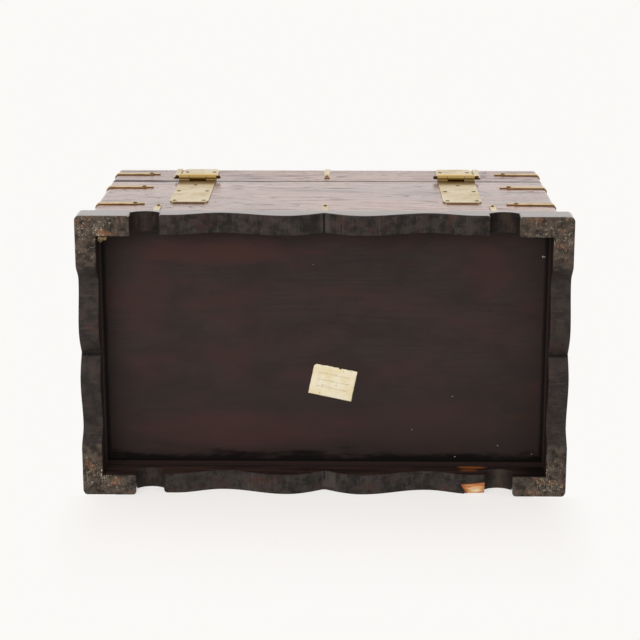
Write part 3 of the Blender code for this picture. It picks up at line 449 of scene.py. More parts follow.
# Painted shade at the cusps across the middles of the long aprons, as dark lines and dark smudges with pale
# strips beside them, or painted shade in the crease of a side apron.
def plinthMarks(wood, grain, below, ground):
    if grain.along == 1:
        middle, half = wood["crease"]
        creaseShade = abs(grain.y - middle).to("upTo", half, half * 0.4, 0.85)
        return coat(wood, ground, (creaseShade * below, "deepShade"))
    # dark lines and smudges by the cusps are painted shade; the pale strips are not
    for side, middle, half, outer, depth, tone in wood["marks"]:
        off = abs(grain.x - middle) + (grain.smear - 0.5) * half
        outward = grain.y * side
        marked = (outward > wood["markStart"]) * outward.to("spread", outer, outer - wood["markEnd"])
        marked = marked * off.to("upTo", half * 1.35, half * 0.6, depth)
        ground = coat(wood, ground, (marked * below, tone))
    return ground


# Worn foot ends: grey-brown wood with rusty stains, pale flecks and fine scratches.
def plinthFeet(wood, grain):
    flake = grainNoise(grain.coords, 8, detail=4, rough=0.7, twist=1.4, shift=(1, 6, 3))
    rust = grainNoise(grain.coords, 15, detail=3, rough=0.6, shift=(3, 7, 2))
    scratch = grainNoise(grain.coords, (1.0, 8, 4), detail=2, twist=1.5)
    start, fade = wood["footStart"][grain.along], wood["footFade"]
    reach = abs((grain.x, grain.y)[grain.along]) + (grain.smear - 0.5) * 0.02
    trodden = reach.to("spread", start - fade, start + fade) * grain.patch.to("spread", 0.36, 0.54, 0.2)
    cornerX, cornerY = wood["footCorner"]
    offX, offY = abs(grain.x) - cornerX, abs(grain.y) - cornerY
    trodden = trodden * (offX * offX + offY * offY).to("SQRT", 0.0).to("spread", *wood["cornerReach"])
    flecks = grain.fleck.to("upTo", 0.57, 0.68, 0.8) | flake.to("upTo", 0.63, 0.69, 0.9)
    nicks = scratch.to("spread", 0.6, 0.68) * grain.patch.to("upTo", 0.4, 0.6, 0.6)
    return coat(
        wood, "bareDark", (grain.smear.to("spread", 0.36, 0.62), "bare"),
        (grain.grit.to("upTo", 0.4, 0.3, 0.7), "darkDustAndShade"),
        (trodden * rust.to("upTo", 0.52, 0.68, 0.75), "bareRust"), (flecks * trodden, "barePale"),
        (nicks * trodden, "barePale"))


def ebonisedPlinth(name, along):
    material, coords = newMaterial(name)
    wood, grain = plinthWood, plinthGrain(coords, along)
    facing = addNode(coords.tree, "ShaderNodeTexCoord", output="Normal").to("axes").outputs()
    below = facing[2].to("spread", *wood["underside"])
    wall = inside(grain.x, grain.y, *wood["room"])
    foot = grain.z.to("spread", *wood["footHeight"])
    body = coat(
        wood, "streak", (grain.streak.to("spread", 0.35, 0.65), "stain"),
        (grain.patch.to("upTo", 0.52, 0.72, 0.7), "red"), (wall, plinthWalls(wood, grain)),
        (below, plinthUnderside(wood, grain)))
    if along == 0:
        body = coat(wood, body, plinthNotches(wood, grain))
    body = plinthMarks(wood, grain, below, body)
    rub = rubbedEdge(coords.tree, wood["worn"]) * grain.smear.to("spread", 0.42, 0.62, 0.1, 0.7)
    body = coat(wood, body, (rub, "bareDark"), (foot, plinthFeet(wood, grain)))
    for *spot, depth in wood["scrapes"]:
        scraped = oval(grain.x, grain.z, spot, grain.streak, 2.5).to("upTo", 1.3, 0.4, depth)
        body = coat(wood, body, (scraped * (grain.y < wood["frontWall"]) * wall, "scrape"))
    dull = (below * 0.6) | (wall * 0.58) | (foot * 0.85)
    gloss = grain.streak.to("spread", 0.3, 0.7, 0.26, 0.38) | dull
    rough = grain.streak * 0.6 + below * grain.sawn + foot * grain.fleck
    addNode(coords.tree, "ShaderNodeBsdfPrincipled", {
        "Base Color": body, "Roughness": gloss, "Normal": rough.to("relief", 0.35, 0.0008),
        "Specular IOR Level": 0.3, "Coat Roughness": 0.22,
        "Coat Weight": dull.to("spread", 0.4, 0.05)}).to("surface")
    return material


# Stained softer wood of the bottom board: planed, washed with red-brown stain, never polished. Faint grain
# along the length, rubbed red patches, and old dirt with painted shade in the corners along the walls, most
# along the front.
bottomWood = {
    "stain": "#3E3430", "dark": "#302624", "red": "#4A2F2B", "amber": "#462C20", "dust": "#5A4C47",
    "grimeAndShade": "#0B0706",
    # rubbed patches: middle and half of x and y, depth
    "rubbed": [
        (0.13, 0.121, 0.12, 0.017, 0.65), (0.218, 0.068, 0.03, 0.06, 0.32),
        (0.11, -0.108, 0.14, 0.028, 0.5), (-0.12, -0.1, 0.13, 0.03, 0.25),
        (-0.2, 0.1, 0.03, 0.04, 0.35)],
    "frontShade": (0.0, -0.14, 0.65),
    # dirt and painted shade along the front in streaks, thinner along the other sides
    "frontDirtAndShade": (-0.134, -0.147),
    "frontPackedDirtAndShade": (-0.1455, -0.1485),
    "endDirtAndShade": (0.2705, 0.2755),
    "rearDirtAndShade": (0.144, 0.151),
    "wander": 0.055,
    "upperSide": (0.059, 0.061),
}


def stainedBottom(name):
    material, coords = newMaterial(name)
    wood = bottomWood
    x, y, z = coords.to("axes").outputs()
    streak = grainNoise(coords, (85, 3.0, 3.0), detail=4, rough=0.6)
    broad = grainNoise(coords, (70, 45, 45), detail=4, rough=0.6, twist=0.4)
    redder = grainNoise(coords, (85, 40, 60), detail=5, rough=0.6, twist=0.5, shift=(2.1, 0.9, 2.0))
    cloudy = grainNoise(coords, (70, 16, 30), detail=4, rough=0.6, shift=(7, 3, 1))
    grit = grainNoise(coords, 1.6, detail=2)
    rubbed = []
    for *spot, depth in wood["rubbed"]:
        rubbed.append((oval(x, y, spot, cloudy, 2.4).to("upTo", 1.3, 0.2, depth), "red"))
    wander = (cloudy - 0.5) * wood["wander"]
    front = (y + wander).to("spread", *wood["frontDirtAndShade"]) | y.to("spread", *wood["frontPackedDirtAndShade"])
    ends = (abs(x) + broad * 0.004).to("spread", *wood["endDirtAndShade"])
    rear = (y + wander * 0.4).to("spread", *wood["rearDirtAndShade"])
    # dirt and painted shade where the board meets the walls
    dirtAndShade = front | ((ends * 0.9) | (rear * 0.5))
    raw = coat(boardWood, "insideLine", (streak.to("spread", 0.35, 0.6), "inside"))
    body = coat(
        wood, "dark", (streak.to("spread", 0.28, 0.7, 0.2, 0.85), "stain"),
        (broad.to("upTo", 0.6, 0.34, 0.6), "dark"), (redder.to("upTo", 0.4, 0.76, 0.55), "red"),
        (y.to("upTo", *wood["frontShade"]), "dark"), (cloudy.to("upTo", 0.58, 0.78, 0.5), "amber"), *rubbed,
        (grit.to("upTo", 0.66, 0.78, 0.25), "dust"), (dirtAndShade * 0.95, "grimeAndShade"),
        (z.to("spread", *wood["upperSide"]), raw))
    gloss = streak.to("spread", 0.3, 0.7, 0.55, 0.72)
    addNode(coords.tree, "ShaderNodeBsdfPrincipled", {
        "Base Color": body, "Roughness": gloss, "Normal": streak.to("relief", 0.15, 0.0004),
        "Specular IOR Level": 0.2}).to("surface")
    return material


# Brass sheet and strip: rolled, filed and hand polished. A warm metal with faint filing lines, brown tarnish
# in patches and brighter rubbed edges; on the hinges, painted shade and a painted reflection by the barrels.
brasses = {
    # under is the colour of the painted shade and reflection on the leaves under the hinge barrels
    "polishedSheetBrass": {
        "bright": "#D8C7A0", "tarnish": "#BDA16A", "rub": "#E6D9B6", "deep": "#E8C57C", "under": "#86693A",
        "lines": (0.6, 26, 0.6), "polish": (0.2, 0.3), "patch": 26, "waves": 30},
    "agedStripBrass": {
        "bright": "#D0B074", "tarnish": "#A17E44", "rub": "#E3CF9E", "deep": "#B39358", "under": "#A17E44",
        "lines": (18, 18, 0.7), "polish": (0.22, 0.38), "patch": 12, "waves": 20},
    "handledCastBrass": {
        "bright": "#C0A060", "tarnish": "#8A6A36", "rub": "#DCC792", "deep": "#B39358", "under": "#8A6A36",
        "lines": 2, "polish": (0.18, 0.36), "patch": 10, "waves": 14},
    "hammeredNailBrass": {
        "bright": "#8D6D3A", "tarnish": "#4C3719", "rub": "#C4A86C", "deep": "#8D6D3A", "under": "#4C3719",
        "lines": 1, "polish": (0.24, 0.4), "patch": 3, "waves": 6},
    "tarnishedTurnedBrass": {
        "bright": "#7A5E34", "tarnish": "#43301A", "rub": "#A0824C", "deep": "#574123", "under": "#43301A",
        "lines": 2, "polish": (0.28, 0.45), "patch": 5, "waves": 10},
}
barrel = {
    "face": (0.1676, 0.1682),  # rolled barrels stand behind this, deeper in colour than the leaves
    "plate": 0.165,
    "dirtAndShade": "#5A431C",
    "dirtAndShadeFrom": (0.1712, 0.169),  # towards the board, between these, the barrel's lower side goes brown: painted shade with dirt
    "shade": (0.248, 0.2625),  # and the leaf under it goes dark golden: a painted reflection of the barrel and painted shade
}


def brassMaterial(name):
    material, coords = newMaterial(name)
    look = brasses[name]
    behind, height = coords.to("axes").outputs()[1:]
    patch = grainNoise(coords, look["patch"], detail=4, rough=0.6, twist=0.3)
    filed = grainNoise(coords, look["lines"], detail=2)
    rolled = behind.to("spread", *barrel["face"])
    under = (behind > barrel["plate"]) * (height < edgeRules["seam"])
    # painted reflection of the barrel and painted shade on the leaf under it; painted shade with dirt on the
    # barrel's lower side
    leafShadeAndReflection = ((under - rolled) * height.to("upTo", *barrel["shade"], 0.9)) | 0.0
    brown = rolled * under * behind.to("upTo", *barrel["dirtAndShadeFrom"], 0.3)
    body = coat(
        look, "bright", (patch.to("upTo", 0.48, 0.72, 0.7), "tarnish"),
        (rolled * patch.to("spread", 0.35, 0.65, 0.8), "deep"), (leafShadeAndReflection, "under"),
        (rubbedEdge(coords.tree, 0.0008) * 0.4, "rub"))
    body = coat(barrel, body, (brown, "dirtAndShade"))
    gloss = patch.to("spread", 0.3, 0.7, *look["polish"]) + filed * 0.06 + brown * 0.25
    # faint waves left by the hammer, under the filing lines
    beaten = grainNoise(coords, look["waves"], detail=1).to("relief", 0.5, 0.0014)
    addNode(coords.tree, "ShaderNodeBsdfPrincipled", {
        "Base Color": body, "Roughness": gloss, "Normal": filed.to("relief", 0.06, 0.0002, beaten),
        "Metallic": 1.0}).to("surface")
    return material


lengthwiseBoard = polishedHardwood("polishedHardwoodLengthwise", 0, 0.85, 1.0, (0.3, 0.1, 0.0))
crosswiseBoard = polishedHardwood("polishedHardwoodCrosswise", 1, 0.75, 1.0, (1.7, 0.4, 0.2))
lidRail = polishedHardwood("polishedHardwoodRail", 0, 0.95, 0.75, (2.6, 0.7, 1.9))
lidBoard = polishedHardwood("polishedHardwoodLid", 0, 0.7, 1.0, (4.1, 1.3, 0.6))
lengthwisePlinth = ebonisedPlinth("ebonisedPlinthLengthwise", 0)
crosswisePlinth = ebonisedPlinth("ebonisedPlinthCrosswise", 1)
bottomStain = stainedBottom("stainedBottomWood")
sheetBrass, stripBrass, castBrass, nailBrass, darkBrass = [brassMaterial(name) for name in brasses]

# Endings of node names, finish, how far the edges are eased in millimetres, and which edges.
finishes = [
    (("front_rail", "back_rail"), lidRail, 1.5, "board"),
    (("front_board", "back_board"), lengthwiseBoard, 1.5, "board"),
    (("left_board", "right_board", "left_rail", "right_rail"), crosswiseBoard, 1.5, "board"),
    (("lid_top_board",), lidBoard, 0.5, "plain"),
    (("front_apron", "back_apron"), lengthwisePlinth, 1.6, "plinth"),
    (("left_apron", "right_apron"), crosswisePlinth, 1.6, "plinth"),
    (("bottom_board",), bottomStain, 0.3, "plain"),
    (("_leaf", "lid_strap", "base_clip", "key_plate"), sheetBrass, 0.25, "plain"),
    (("corner_strap",), stripBrass, 0.3, "plain"),
    (("handle_bail", "_post", "lid_lock_link"), castBrass, 0.25, "plain"),
    (("hinge_pin", "_nut", "lock_case", "lock_bolt"), darkBrass, 0.2, "plain"),
]


def newShaping(name):
    tree = bpy.data.node_groups.new(name, "GeometryNodeTree")
    for way in ("INPUT", "OUTPUT"):
        tree.interface.new_socket("Geometry", in_out=way, socket_type="NodeSocketGeometry")
    angle = addNode(tree, "GeometryNodeInputMeshEdgeAngle", output="Unsigned Angle")
    crisp = addNode(tree, "FunctionNodeCompare", {
        "data_type": "FLOAT", "operation": "GREATER_THAN", 0: angle, 1: edgeRules["crisp"]})
    return tree, addNode(tree, "NodeGroupInput"), crisp


# Marks how much of the easing each edge takes.
def easingRule(kind):
    tree, solid, share = newShaping(kind + "Easing")
    x, y, z = addNode(tree, "GeometryNodeInputPosition").to("axes").outputs()
    rules = edgeRules
    if kind == "board":
        share = share * ((abs(z - rules["seam"]) < rules["seamReach"]) | rules["boardShare"])
    if kind == "plinth":
        share = share * (abs(abs(x) - abs(y) - rules["mitre"]) > rules["mitreReach"])
        middle, half = rules["hollowHeight"]
        hollow = between(abs(x), *rules["hollow"]) * (abs(z - middle) < half)
        broken = between(x, *rules["chip"]) * (y < rules["chipInner"])
        share = share * (1.0 - hollow) * (1.0 - broken)
    if kind == "notchRim":
        fromFirst, fromSecond = [abs(abs(x) - place) for place in rules["notchRims"]]
        atRim = fromFirst.to("MINIMUM", fromSecond) < rules["notchReach"]
        atRim = atRim * (abs(y) > rules["notchFace"]) * between(z, *rules["notchHeight"])
        atCusp = (abs(x) < rules["notchReach"]) * between(z, *rules["cuspHeight"])
        share = (share * atRim) | atCusp
    marked = addNode(tree, "GeometryNodeStoreNamedAttribute", {
        "data_type": "FLOAT", "domain": "EDGE", "Name": "bevel_weight_edge", "Geometry": solid,
        "Value": share})
    addNode(tree, "NodeGroupOutput", {0: marked})
    return tree


easings = {kind: easingRule(kind) for kind in ("plain", "board", "plinth", "notchRim")}
gentle, solid, crisp = newShaping("gentleShading")
shaded = addNode(gentle, "GeometryNodeSetMeshNormal", {
    "mode": "SHARPNESS", "Remove Custom": True, "Face Sharpness": False, "Mesh": solid,
    "Edge Sharpness": crisp})
addNode(gentle, "NodeGroupOutput", {0: shaded})
easing = {
    "joinWithin": 0.00001,
    "flatWithin": math.radians(0.4),
    "segments": 3,
    "tidyWithin": 0.000002,
}


def easeEdges(piece, width, kind):
    piece.modifiers.new("join", "WELD").merge_threshold = easing["joinWithin"]
    plain = piece.modifiers.new("plain", "DECIMATE")
    plain.decimate_type = "DISSOLVE"
    plain.angle_limit = easing["flatWithin"]
    steps = [(kind, width)]
    if kind == "plinth":
        steps.insert(0, ("notchRim", edgeRules["notchRadius"]))
    for step, size in steps:
        piece.modifiers.new("choose", "NODES").node_group = easings[step]
        ease = piece.modifiers.new("ease", "BEVEL")
        ease.width = size / 1000
        ease.segments = easing["segments"]
        ease.limit_method = "WEIGHT"
        ease.use_clamp_overlap = step != "notchRim"
    piece.modifiers.new("tidy", "WELD").merge_threshold = easing["tidyWithin"]
    piece.modifiers.new("smooth", "NODES").node_group = gentle
    piece.modifiers.new("weigh", "WEIGHTED_NORMAL").keep_sharp = True


for endings, material, width, kind in finishes:
    for nodeName, piece in chest.items():
        if nodeName.endswith(endings) and not piece.modifiers:
            piece.data.materials.clear()
            piece.data.materials.append(material)
            easeEdges(piece, width, kind)
bare = [nodeName for nodeName, piece in chest.items() if not piece.modifiers]
print("stage 3: finishes on the nodes, without one:", bare)


def makePiece(name, body, shape, material, smooth=True):
    mesh = bpy.data.meshes.new(name)
    bmesh.ops.recalc_face_normals(shape, faces=shape.faces[:])
    shape.to_mesh(mesh)
    shape.free()
    mesh.materials.append(material)
    mesh.polygons.foreach_set("use_smooth", [smooth] * len(mesh.polygons))
    piece = addObject(name, mesh)
    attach(piece, body)
    return piece


# Stands +Z on a face at a point, turned about that direction.
def standOn(point, outward, turn=0.0):
    upright = Vector(outward).to_track_quat("Z", "Y").to_matrix().to_4x4()
    return Matrix.Translation(point) @ upright @ Matrix.Rotation(turn, 4, "Z")


# Adds a turned shape of (radius, height) rings in millimetres, closed at both ends.
def addTurned(shape, profile, matrix, steps=20):
    rings = []
    for radius, height in profile:
        ring = []
        for i in range(steps):
            angle = 2 * math.pi * i / steps
            point = Vector((radius * math.cos(angle), radius * math.sin(angle), height)) / 1000
            ring.append(shape.verts.new(matrix @ point))
        rings.append(ring)
    for upper, lower in zip(rings, rings[1:]):
        for i in range(steps):
            shape.faces.new((upper[i], upper[i - 1], lower[i - 1], lower[i]))
    shape.faces.new(rings[0])
    shape.faces.new(rings[-1])


# Brass nails: hammered domes over the straps and clips, no two quite alike.
nails = {
    "dome": [(0.5, 1.5), (1.4, 1.3), (2.15, 0.9), (2.65, 0.4), (2.8, 0.08), (2.75, -0.3)],
    "halo": [(3.0, 0.06), (3.4, 0.05), (3.6, 0.01), (3.5, -0.1)],  # a dark ring round each head
    "fromTip": 0.0122,  # on the corner straps
    "fromEnd": 0.0075,  # on the lid straps and base clips, which have smaller heads
    "smaller": 0.92,
    "clipStep": 0.0047,  # from the clip's foot in to its upper face
    "pinInset": (0.006, 0.005),
    "pinSize": 0.5,
    "spread": 0.07,
    "lean": 0.07,
    "seed": 7,
}
dice = random.Random(nails["seed"])
nailShapes = {"carcase": bmesh.new(), "lid": bmesh.new()}
haloShapes = {"carcase": bmesh.new(), "lid": bmesh.new()}


def driveNail(body, point, outward, size=1.0):
    grow = size * (1 + dice.uniform(-nails["spread"], nails["spread"]))
    lean = Vector(outward) + Vector([dice.uniform(-nails["lean"], nails["lean"]) for i in range(3)])
    matrix = standOn(point, lean, dice.uniform(0, 6.28)) @ Matrix.Scale(grow, 4)
    addTurned(nailShapes[body], nails["dome"], matrix)
    addTurned(haloShapes[body], nails["halo"], standOn(point, outward) @ Matrix.Scale(grow, 4))


for nodeName in chest:
    low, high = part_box(nodeName)
    middle = (low + high) / 2
    back = nodeName.startswith("back")
    faceY, facing = (high.y, 1) if back else (low.y, -1)
    innerY = low.y if back else high.y
    body = "lid" if "lid" in nodeName else "carcase"
    if nodeName.endswith("corner_strap"):
        left = "_left_" in nodeName
        faceX, side = (low.x, -1) if left else (high.x, 1)
        innerX = high.x if left else low.x
        driveNail(body, (innerX + side * nails["fromTip"], faceY, middle.z), (0, facing, 0))
        driveNail(body, (faceX, innerY + facing * nails["fromTip"], middle.z), (side, 0, 0))
    elif nodeName.endswith("lid_strap"):
        driveNail(body, (middle.x, faceY, low.z + nails["fromEnd"]), (0, facing, 0), nails["smaller"])
        driveNail(body, (middle.x, innerY + facing * nails["fromEnd"], high.z), (0, 0, 1), nails["smaller"])
    elif nodeName.endswith("base_clip"):
        upperY = faceY - facing * nails["clipStep"]
        driveNail(body, (middle.x, upperY, high.z - nails["fromEnd"]), (0, facing, 0), nails["smaller"])
low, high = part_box("key_plate")
insetX, insetZ = nails["pinInset"]
for pinX in (low.x + insetX, high.x - insetX):
    for pinZ in (low.z + insetZ, high.z - insetZ):
        driveNail("carcase", (pinX, low.y, pinZ), (0, -1, 0), nails["pinSize"])
for body, shape in nailShapes.items():
    makePiece(body + "Nails", body, shape, nailBrass)
    makePiece(body + "NailHalos", body, haloShapes[body], darkBrass)
print("stage 4: nails")

# Slotted screws: turned heads set flush in the hinge leaves, the lock's ears and the link.
screws = {
    "head": [(0.9, 0.62), (1.8, 0.48), (2.4, 0.2), (2.62, 0.0), (2.62, -0.3), (2.62, -1.2)],
    "halo": [(2.7, 0.05), (3.1, 0.04), (3.25, 0.01), (3.2, -0.1)],
    "steps": 28,
    "slotLength": 10,
    "slotWidth": 0.75,
    "slotDepth": 0.65,
    "leafFace": 0.1671,
    # height, and the columns to each side of the leaf's middle
    "bodyLeaf": [(0.2104, (-0.0187, 0.0187)), (0.1484, (-0.0187, 0.0187)), (0.2514, (0,))],
    "lidLeaf": [(0.3464, (-0.0187, 0.0187)), (0.3194, (0,))],
    "lockEars": [(-0.041, -0.1473, 0.261), (0.041, -0.1473, 0.261)],
    "lidLink": [(-0.016, -0.1477, 0.3115), (0.016, -0.1477, 0.3115)],
    "seed": 11,
}


# A screw head with its slot cut out.
def slottedHead():
    head, slot = bmesh.new(), bmesh.new()
    addTurned(head, screws["head"], Matrix.Identity(4), screws["steps"])
    bmesh.ops.recalc_face_normals(head, faces=head.faces[:])
    bmesh.ops.create_cube(slot, size=1.0)
    slotSize = Vector((screws["slotLength"], screws["slotWidth"], 2 * screws["slotDepth"])) / 1000
    bmesh.ops.scale(slot, vec=slotSize, verts=slot.verts[:])
    bmesh.ops.translate(slot, vec=(0, 0, screws["head"][0][1] / 1000), verts=slot.verts[:])
    templates = []
    for shape in (head, slot):
        mesh = bpy.data.meshes.new("screwTemplate")
        shape.to_mesh(mesh)
        shape.free()
        templates.append(addObject("screwTemplate", mesh))
    cut = templates[0].modifiers.new("slot", "BOOLEAN")
    cut.operation = "DIFFERENCE"
    cut.solver = "EXACT"
    cut.object = templates[1]
    graph = bpy.context.evaluated_depsgraph_get()
    slotted = bpy.data.meshes.new_from_object(templates[0].evaluated_get(graph))
    for template in templates:
        bpy.data.objects.remove(template)
    return slotted


dice = random.Random(screws["seed"])
slotted = slottedHead()
screwPlaces = {"carcase": [], "lid": []}
for side in ("left", "right"):
    low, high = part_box(side + "_hinge_body_leaf")
    middleX = (low.x + high.x) / 2
    for body, leaf in (("carcase", "bodyLeaf"), ("lid", "lidLeaf")):
        for row, columns in screws[leaf]:
            screwPlaces[body] += [(middleX + column, screws["leafFace"], row) for column in columns]
screwPlaces["carcase"] += screws["lockEars"]
screwPlaces["lid"] += screws["lidLink"]
for body, places in screwPlaces.items():
    shape = bmesh.new()
    rings = bmesh.new()
    for point in places:
        addTurned(rings, screws["halo"], standOn(point, (0, 1, 0)))
        single = slotted.copy()
        single.transform(standOn(point, (0, 1, 0), dice.uniform(0, 3.14)))
        shape.from_mesh(single)
        bpy.data.meshes.remove(single)
    makePiece(body + "Screws", body, shape, darkBrass, smooth=False)
    makePiece(body + "ScrewHalos", body, rings, darkBrass)
print("stage 5: screws")


# Joins rows of (vert, uv) into faces.
def stitch(shape, layer, grid):
    for upper, lower in zip(grid, grid[1:]):
        for i in range(len(upper) - 1):
            ring = [upper[i], upper[i + 1], lower[i + 1], lower[i]]
            face = shape.faces.new([vert for vert, uv in ring])
            for loop, (vert, uv) in zip(face.loops, ring):
                loop[layer].uv = uv


def thicken(piece, thickness):
    thick = piece.modifiers.new("thick", "SOLIDIFY")
    thick.thickness = thickness
    thick.offset = 0


# Paper label: machine-made rag paper, glued on and browned with age. Matt cream with fox marks, thin worn
# edges and a torn top; it carries a few faint ruled lines only.
label = {
    "corners": [(0.0123, -0.0207), (-0.0414, -0.0318), (-0.0333, -0.0713), (0.0207, -0.0597)],
    "face": 0.054,
    "thickness": 0.00016,
    "columns": 44,
    "rows": 30,
    "tear": 0.0009,  # how ragged the top edge is,
    "fray": 0.0005,  # with finer fibres on it
    "nick": (0.6, 0.035, 0.0022),  # a nick in it: where, how wide and how deep
    "lostCorner": (0.05, 0.0022),
    "sway": 0.00035,
    "stand": 0.0002,  # clear of the board
    "buckle": 0.00018,
    "lift": 0.0009,  # how far one corner curls up, from these shares of the sheet on
    "liftFrom": (0.86, 0.35),
    "pale": "#FFF4DA", "brown": "#F8E6BC", "fibre": "#EAD5A4", "fox": "#A98552", "rule": "#6F6656",
    "edge": "#C3A66C",
    "rules": (0.3, 0.52, 0.74),
    "ruleHalf": (0.016, 0.006),
    "ruleEnd": (0.38, 0.36),
    "edgeFrom": (0.475, 0.5, 0.35),
}


def agedPaper():
    material, coords = newMaterial("agedRagPaper")
    across, up = addNode(coords.tree, "ShaderNodeUVMap", {"uv_map": "sheet"}).to("axes").outputs()[:2]
    fibre = grainNoise(coords, 1.4, detail=3, rough=0.7)
    stain = grainNoise(coords, 13, detail=4, rough=0.6)
    spot = grainNoise(coords, 3.2, detail=2)
    first, second, third = [abs(up - height).to("spread", *label["ruleHalf"]) for height in label["rules"]]
    fromSide = abs(across - 0.5)
    ruled = (first | second | third) * fromSide.to("spread", *label["ruleEnd"])
    body = coat(
        label, "pale", (stain.to("spread", 0.35, 0.68), "brown"), (fibre.to("upTo", 0.35, 0.7, 0.3), "fibre"),
        (spot.to("upTo", 0.66, 0.74, 0.6), "fox"), (ruled * fibre.to("spread", 0.4, 0.55, 0.1, 0.45), "rule"),
        ((fromSide | abs(up - 0.5)).to("upTo", *label["edgeFrom"]), "edge"))
    addNode(coords.tree, "ShaderNodeBsdfPrincipled", {
        "Base Color": body, "Roughness": 0.88, "Normal": fibre.to("relief", 0.2, 0.0002),
        "Specular IOR Level": 0.2}).to("surface")
    return material


# A point of the sheet: u runs along the torn top edge, v down from it.
def labelPoint(u, v):
    topLeft, topRight, footRight, footLeft = [Vector((x, y, label["face"])) for x, y in label["corners"]]
    top, foot = topLeft.lerp(topRight, u), footLeft.lerp(footRight, u)
    edge = Vector((u * 9, 3.3, 0))
    torn = label["tear"] * (0.4 + noise.noise(edge * 1.7)) + label["fray"] * abs(noise.noise(edge * 6))
    nickAt, nickWide, nickDeep = label["nick"]
    torn += nickDeep * max(0.0, 1 - abs(u - nickAt) / nickWide)
    lostWide, lostDeep = label["lostCorner"]
    torn += lostDeep * max(0.0, 1 - u / lostWide) ** 1.5
    lost = torn / (foot - top).length
    point = top.lerp(foot, lost + v * (1 - lost))
    if u in (0, 1):
        point.x += label["sway"] * noise.noise(Vector((0.5, v * 7, 0)))
    buckle = label["buckle"] * (1 + noise.noise(Vector((u * 4, v * 3, 1.7))))
    liftU, liftV = label["liftFrom"]
    curl = label["lift"] * (max(0.0, u - liftU) / (1 - liftU)) ** 2 * (max(0.0, liftV - v) / liftV)
    point.z -= label["stand"] + buckle + curl
    return point


sheet = bmesh.new()
sheetUv = sheet.loops.layers.uv.new("sheet")
grid = []
for j in range(label["rows"] + 1):
    v = j / label["rows"]
    places = [i / label["columns"] for i in range(label["columns"] + 1)]
    grid.append([(sheet.verts.new(labelPoint(u, v)), (u, 1 - v)) for u in places])
stitch(sheet, sheetUv, grid)
thicken(makePiece("paperLabel", "carcase", sheet, agedPaper()), label["thickness"])
print("stage 6: paper label")

# Broken wood of the chip: torn along the grain, never stained. Orange-tan fibres with pale torn ridges,
# redder towards the tip and dark along the upper rim, with a painted highlight in the middle and painted
# shade at the near end.
chip = {
    # corners of the break: by the notch on the face and inside, far end on the face, tip
    "corners": [
        (-0.1999, -0.1769, 0.0135), (-0.1999, -0.1605, 0.008),
        (-0.175, -0.1769, 0.0115), (-0.1705, -0.1665, 0.0098)],
    "tear": 0.0021,  # how far the skin tore past the break at the tip
    "slant": 0.0026,  # how much sooner it ends at the face
    "step": (0.0024, 0.0007),  # how deep the step at the far end is, and how much less inside
    "columns": 34,
    "rows": 20,
    "ridge": 0.0019,
    "fibre": 0.0003,
    "skin": 0.00012,  # clear of the solid behind
    "thickness": 0.0004,
    "tan": "#BC7440", "paleTan": "#E7AC74", "redTan": "#A9602F", "paintedHighlight": "#FFE2B4",
    "paintedHighlightSpot": (0.46, 0.34, 0.34, 0.3),  # middle along and inward, halves
    "nearEndShade": "#B67650", "farEnd": "#9A5228", "lip": "#5E2E1A",
}


def brokenWood():
    material, coords = newMaterial("brokenBareWood")
    along, inward = addNode(coords.tree, "ShaderNodeUVMap", {"uv_map": "scar"}).to("axes").outputs()[:2]
    # fibres, about four times wider than real ones so that they show
    fibre = grainNoise(coords, (22, 2.6, 2.6), detail=3, rough=0.6, twist=0.4)
    broad = grainNoise(coords, (26, 5, 5), detail=2, shift=(2, 5, 1))
    # a painted highlight in the middle of the break, and below, painted shade at its near end
    paintedHighlight = oval(along, inward, chip["paintedHighlightSpot"], fibre, 3.0)
    body = coat(
        chip, "tan", (fibre.to("spread", 0.36, 0.6), "paleTan"),
        (broad.to("upTo", 0.46, 0.34, 0.8), "redTan"),
        (paintedHighlight.to("upTo", 1.1, 0.2, 0.95), "paintedHighlight"), (along.to("upTo", 0.16, 0.04, 0.6), "nearEndShade"),
        (along.to("upTo", 0.78, 0.98, 0.75), "farEnd"),
        ((inward + (fibre - 0.5) * 0.3).to("spread", 0.86, 0.96), "lip"))
    addNode(coords.tree, "ShaderNodeBsdfPrincipled", {
        "Base Color": body, "Roughness": 0.75, "Normal": fibre.to("relief", 0.6, 0.0006),
        "Specular IOR Level": 0.25}).to("surface")
    return material


# Height of the plane through three points.
def planeHeight(first, second, third, x, y):
    up = (second - first).cross(third - first)
    return first.z - (up.x * (x - first.x) + up.y * (y - first.y)) / up.z


notchFace, notchInner, farFace, farTip = [Vector(corner) for corner in chip["corners"]]


# Height of the break: two planes that meet from the notch to the tip, not above the apron's underside.
def breakHeight(x, y):
    broken = min(planeHeight(notchFace, farTip, third, x, y) for third in (notchInner, farFace))
    underside = notchInner.z + (farTip.z - notchInner.z) * (x - notchInner.x) / (farTip.x - notchInner.x)
    return max(broken, underside - chip["skin"]) - chip["skin"]


# How far the torn fibres stand out, in long ridges with fine threads.
def fibreHeight(x, y):
    ridge = chip["ridge"] * max(0.0, 0.4 + noise.noise(Vector((x * 40, (y + 0.12 * (x + 0.2)) * 330, 0.3))))
    return ridge + chip["fibre"] * noise.noise(Vector((x * 160, y * 1500, 2.3)))


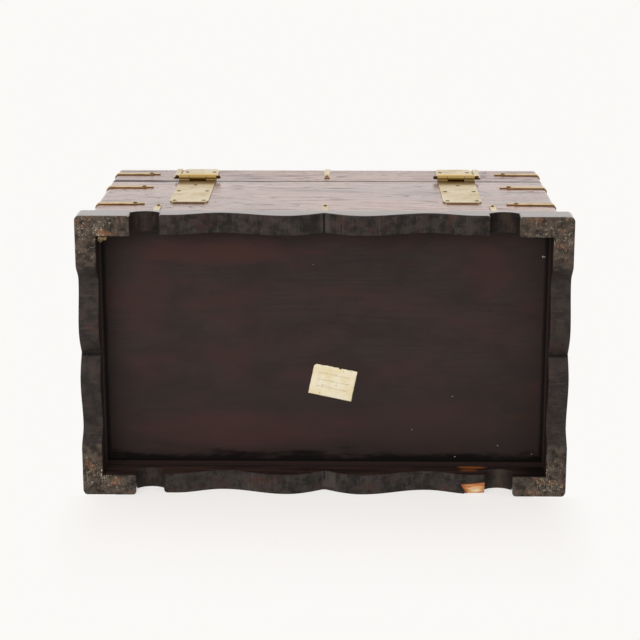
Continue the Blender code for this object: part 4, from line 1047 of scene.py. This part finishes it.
scar = bmesh.new()
scarUv = scar.loops.layers.uv.new("scar")
grid = []
stepDeep, stepRise = chip["step"]
for j in range(chip["rows"] + 1):
    t = j / chip["rows"]
    near, far = notchFace.lerp(notchInner, t), farFace.lerp(farTip, t)
    far.x -= chip["slant"] * (1 - t) ** 1.5
    far.y += chip["tear"] * t
    line = []
    for i in range(chip["columns"] + 1):
        s = i / chip["columns"]
        x, y, z = near.lerp(far, s)
        rim = min(1.0, 5 * t, 5 * (1 - t), 5 * (1 - s))
        z = breakHeight(x, y) - max(0.0, rim * fibreHeight(x, y))
        line.append((scar.verts.new((x, y, z)), (s, t)))
    line.append((scar.verts.new((far.x - chip["skin"], far.y, farFace.z - stepDeep + stepRise * t)), (1, t)))
    grid.append(line)
stitch(scar, scarUv, grid)
thicken(makePiece("chipScar", "carcase", scar, brokenWood(), smooth=False), chip["thickness"])
print("stage 7: chip")

# Dried glue and specks of plaster: poured or splashed, dried hard. Cream lumps, dull shine, brown dirt.
drops = {
    "glue": [
        ((0.269, 0.1485, 0.005), (5.0, 3.2, 3.4)), ((0.264, 0.1492, 0.0035), (3.2, 2.4, 2.2)),
        ((0.2702, 0.146, 0.0075), (2.6, 2.6, 3.0))],
    "specks": [
        ((-0.1604, -0.0639, 0.054), 0.9), ((-0.1101, -0.1079, 0.054), 0.8), ((-0.1652, -0.1438, 0.054), 1.1),
        ((-0.2189, -0.1288, 0.054), 0.8), ((-0.2693, 0.1164, 0.054), 2.4), ((-0.262, -0.14, 0.0535), 0.9),
        ((0.014, 0.1056, 0.054), 0.7)],
    "speckShape": (0.9, 0.65, 0.3),
    "driedHideGlue": {"pale": "#857350", "dirty": "#463720"},
    "splashedPlaster": {"pale": "#B9B2A4", "dirty": "#857B6B"},
}


# A lump against a face: a ball squashed to size in millimetres and dented by noise.
def addLump(shape, point, size, seed, detail=3):
    for vert in bmesh.ops.create_icosphere(shape, subdivisions=detail, radius=1.0)["verts"]:
        dent = 1 + 0.35 * noise.noise(vert.co * 1.6 + Vector((seed, 0, 0)))
        dent += 0.12 * noise.noise(vert.co * 4.5)
        vert.co = Vector(point) + Vector([c * s * dent / 1000 for c, s in zip(vert.co, size)])


def driedLump(name):
    material, coords = newMaterial(name)
    stain = grainNoise(coords, 3, detail=4, rough=0.65)
    body = coat(drops[name], "pale", (stain.to("spread", 0.4, 0.66), "dirty"))
    gloss = stain.to("spread", 0.3, 0.7, 0.35, 0.6)
    addNode(coords.tree, "ShaderNodeBsdfPrincipled", {
        "Base Color": body, "Roughness": gloss, "Normal": stain.to("relief", 0.4, 0.0004),
        "Specular IOR Level": 0.4}).to("surface")
    return material


glue = bmesh.new()
for k, (point, size) in enumerate(drops["glue"]):
    addLump(glue, point, size, 3.1 * k)
makePiece("driedGlue", "carcase", glue, driedLump("driedHideGlue"))
specks = bmesh.new()
for k, (point, size) in enumerate(drops["specks"]):
    addLump(specks, point, [share * size for share in drops["speckShape"]], 1.7 * k, detail=2)
makePiece("plasterSpecks", "carcase", specks, driedLump("splashedPlaster"))
print("stage 8: glue and specks")
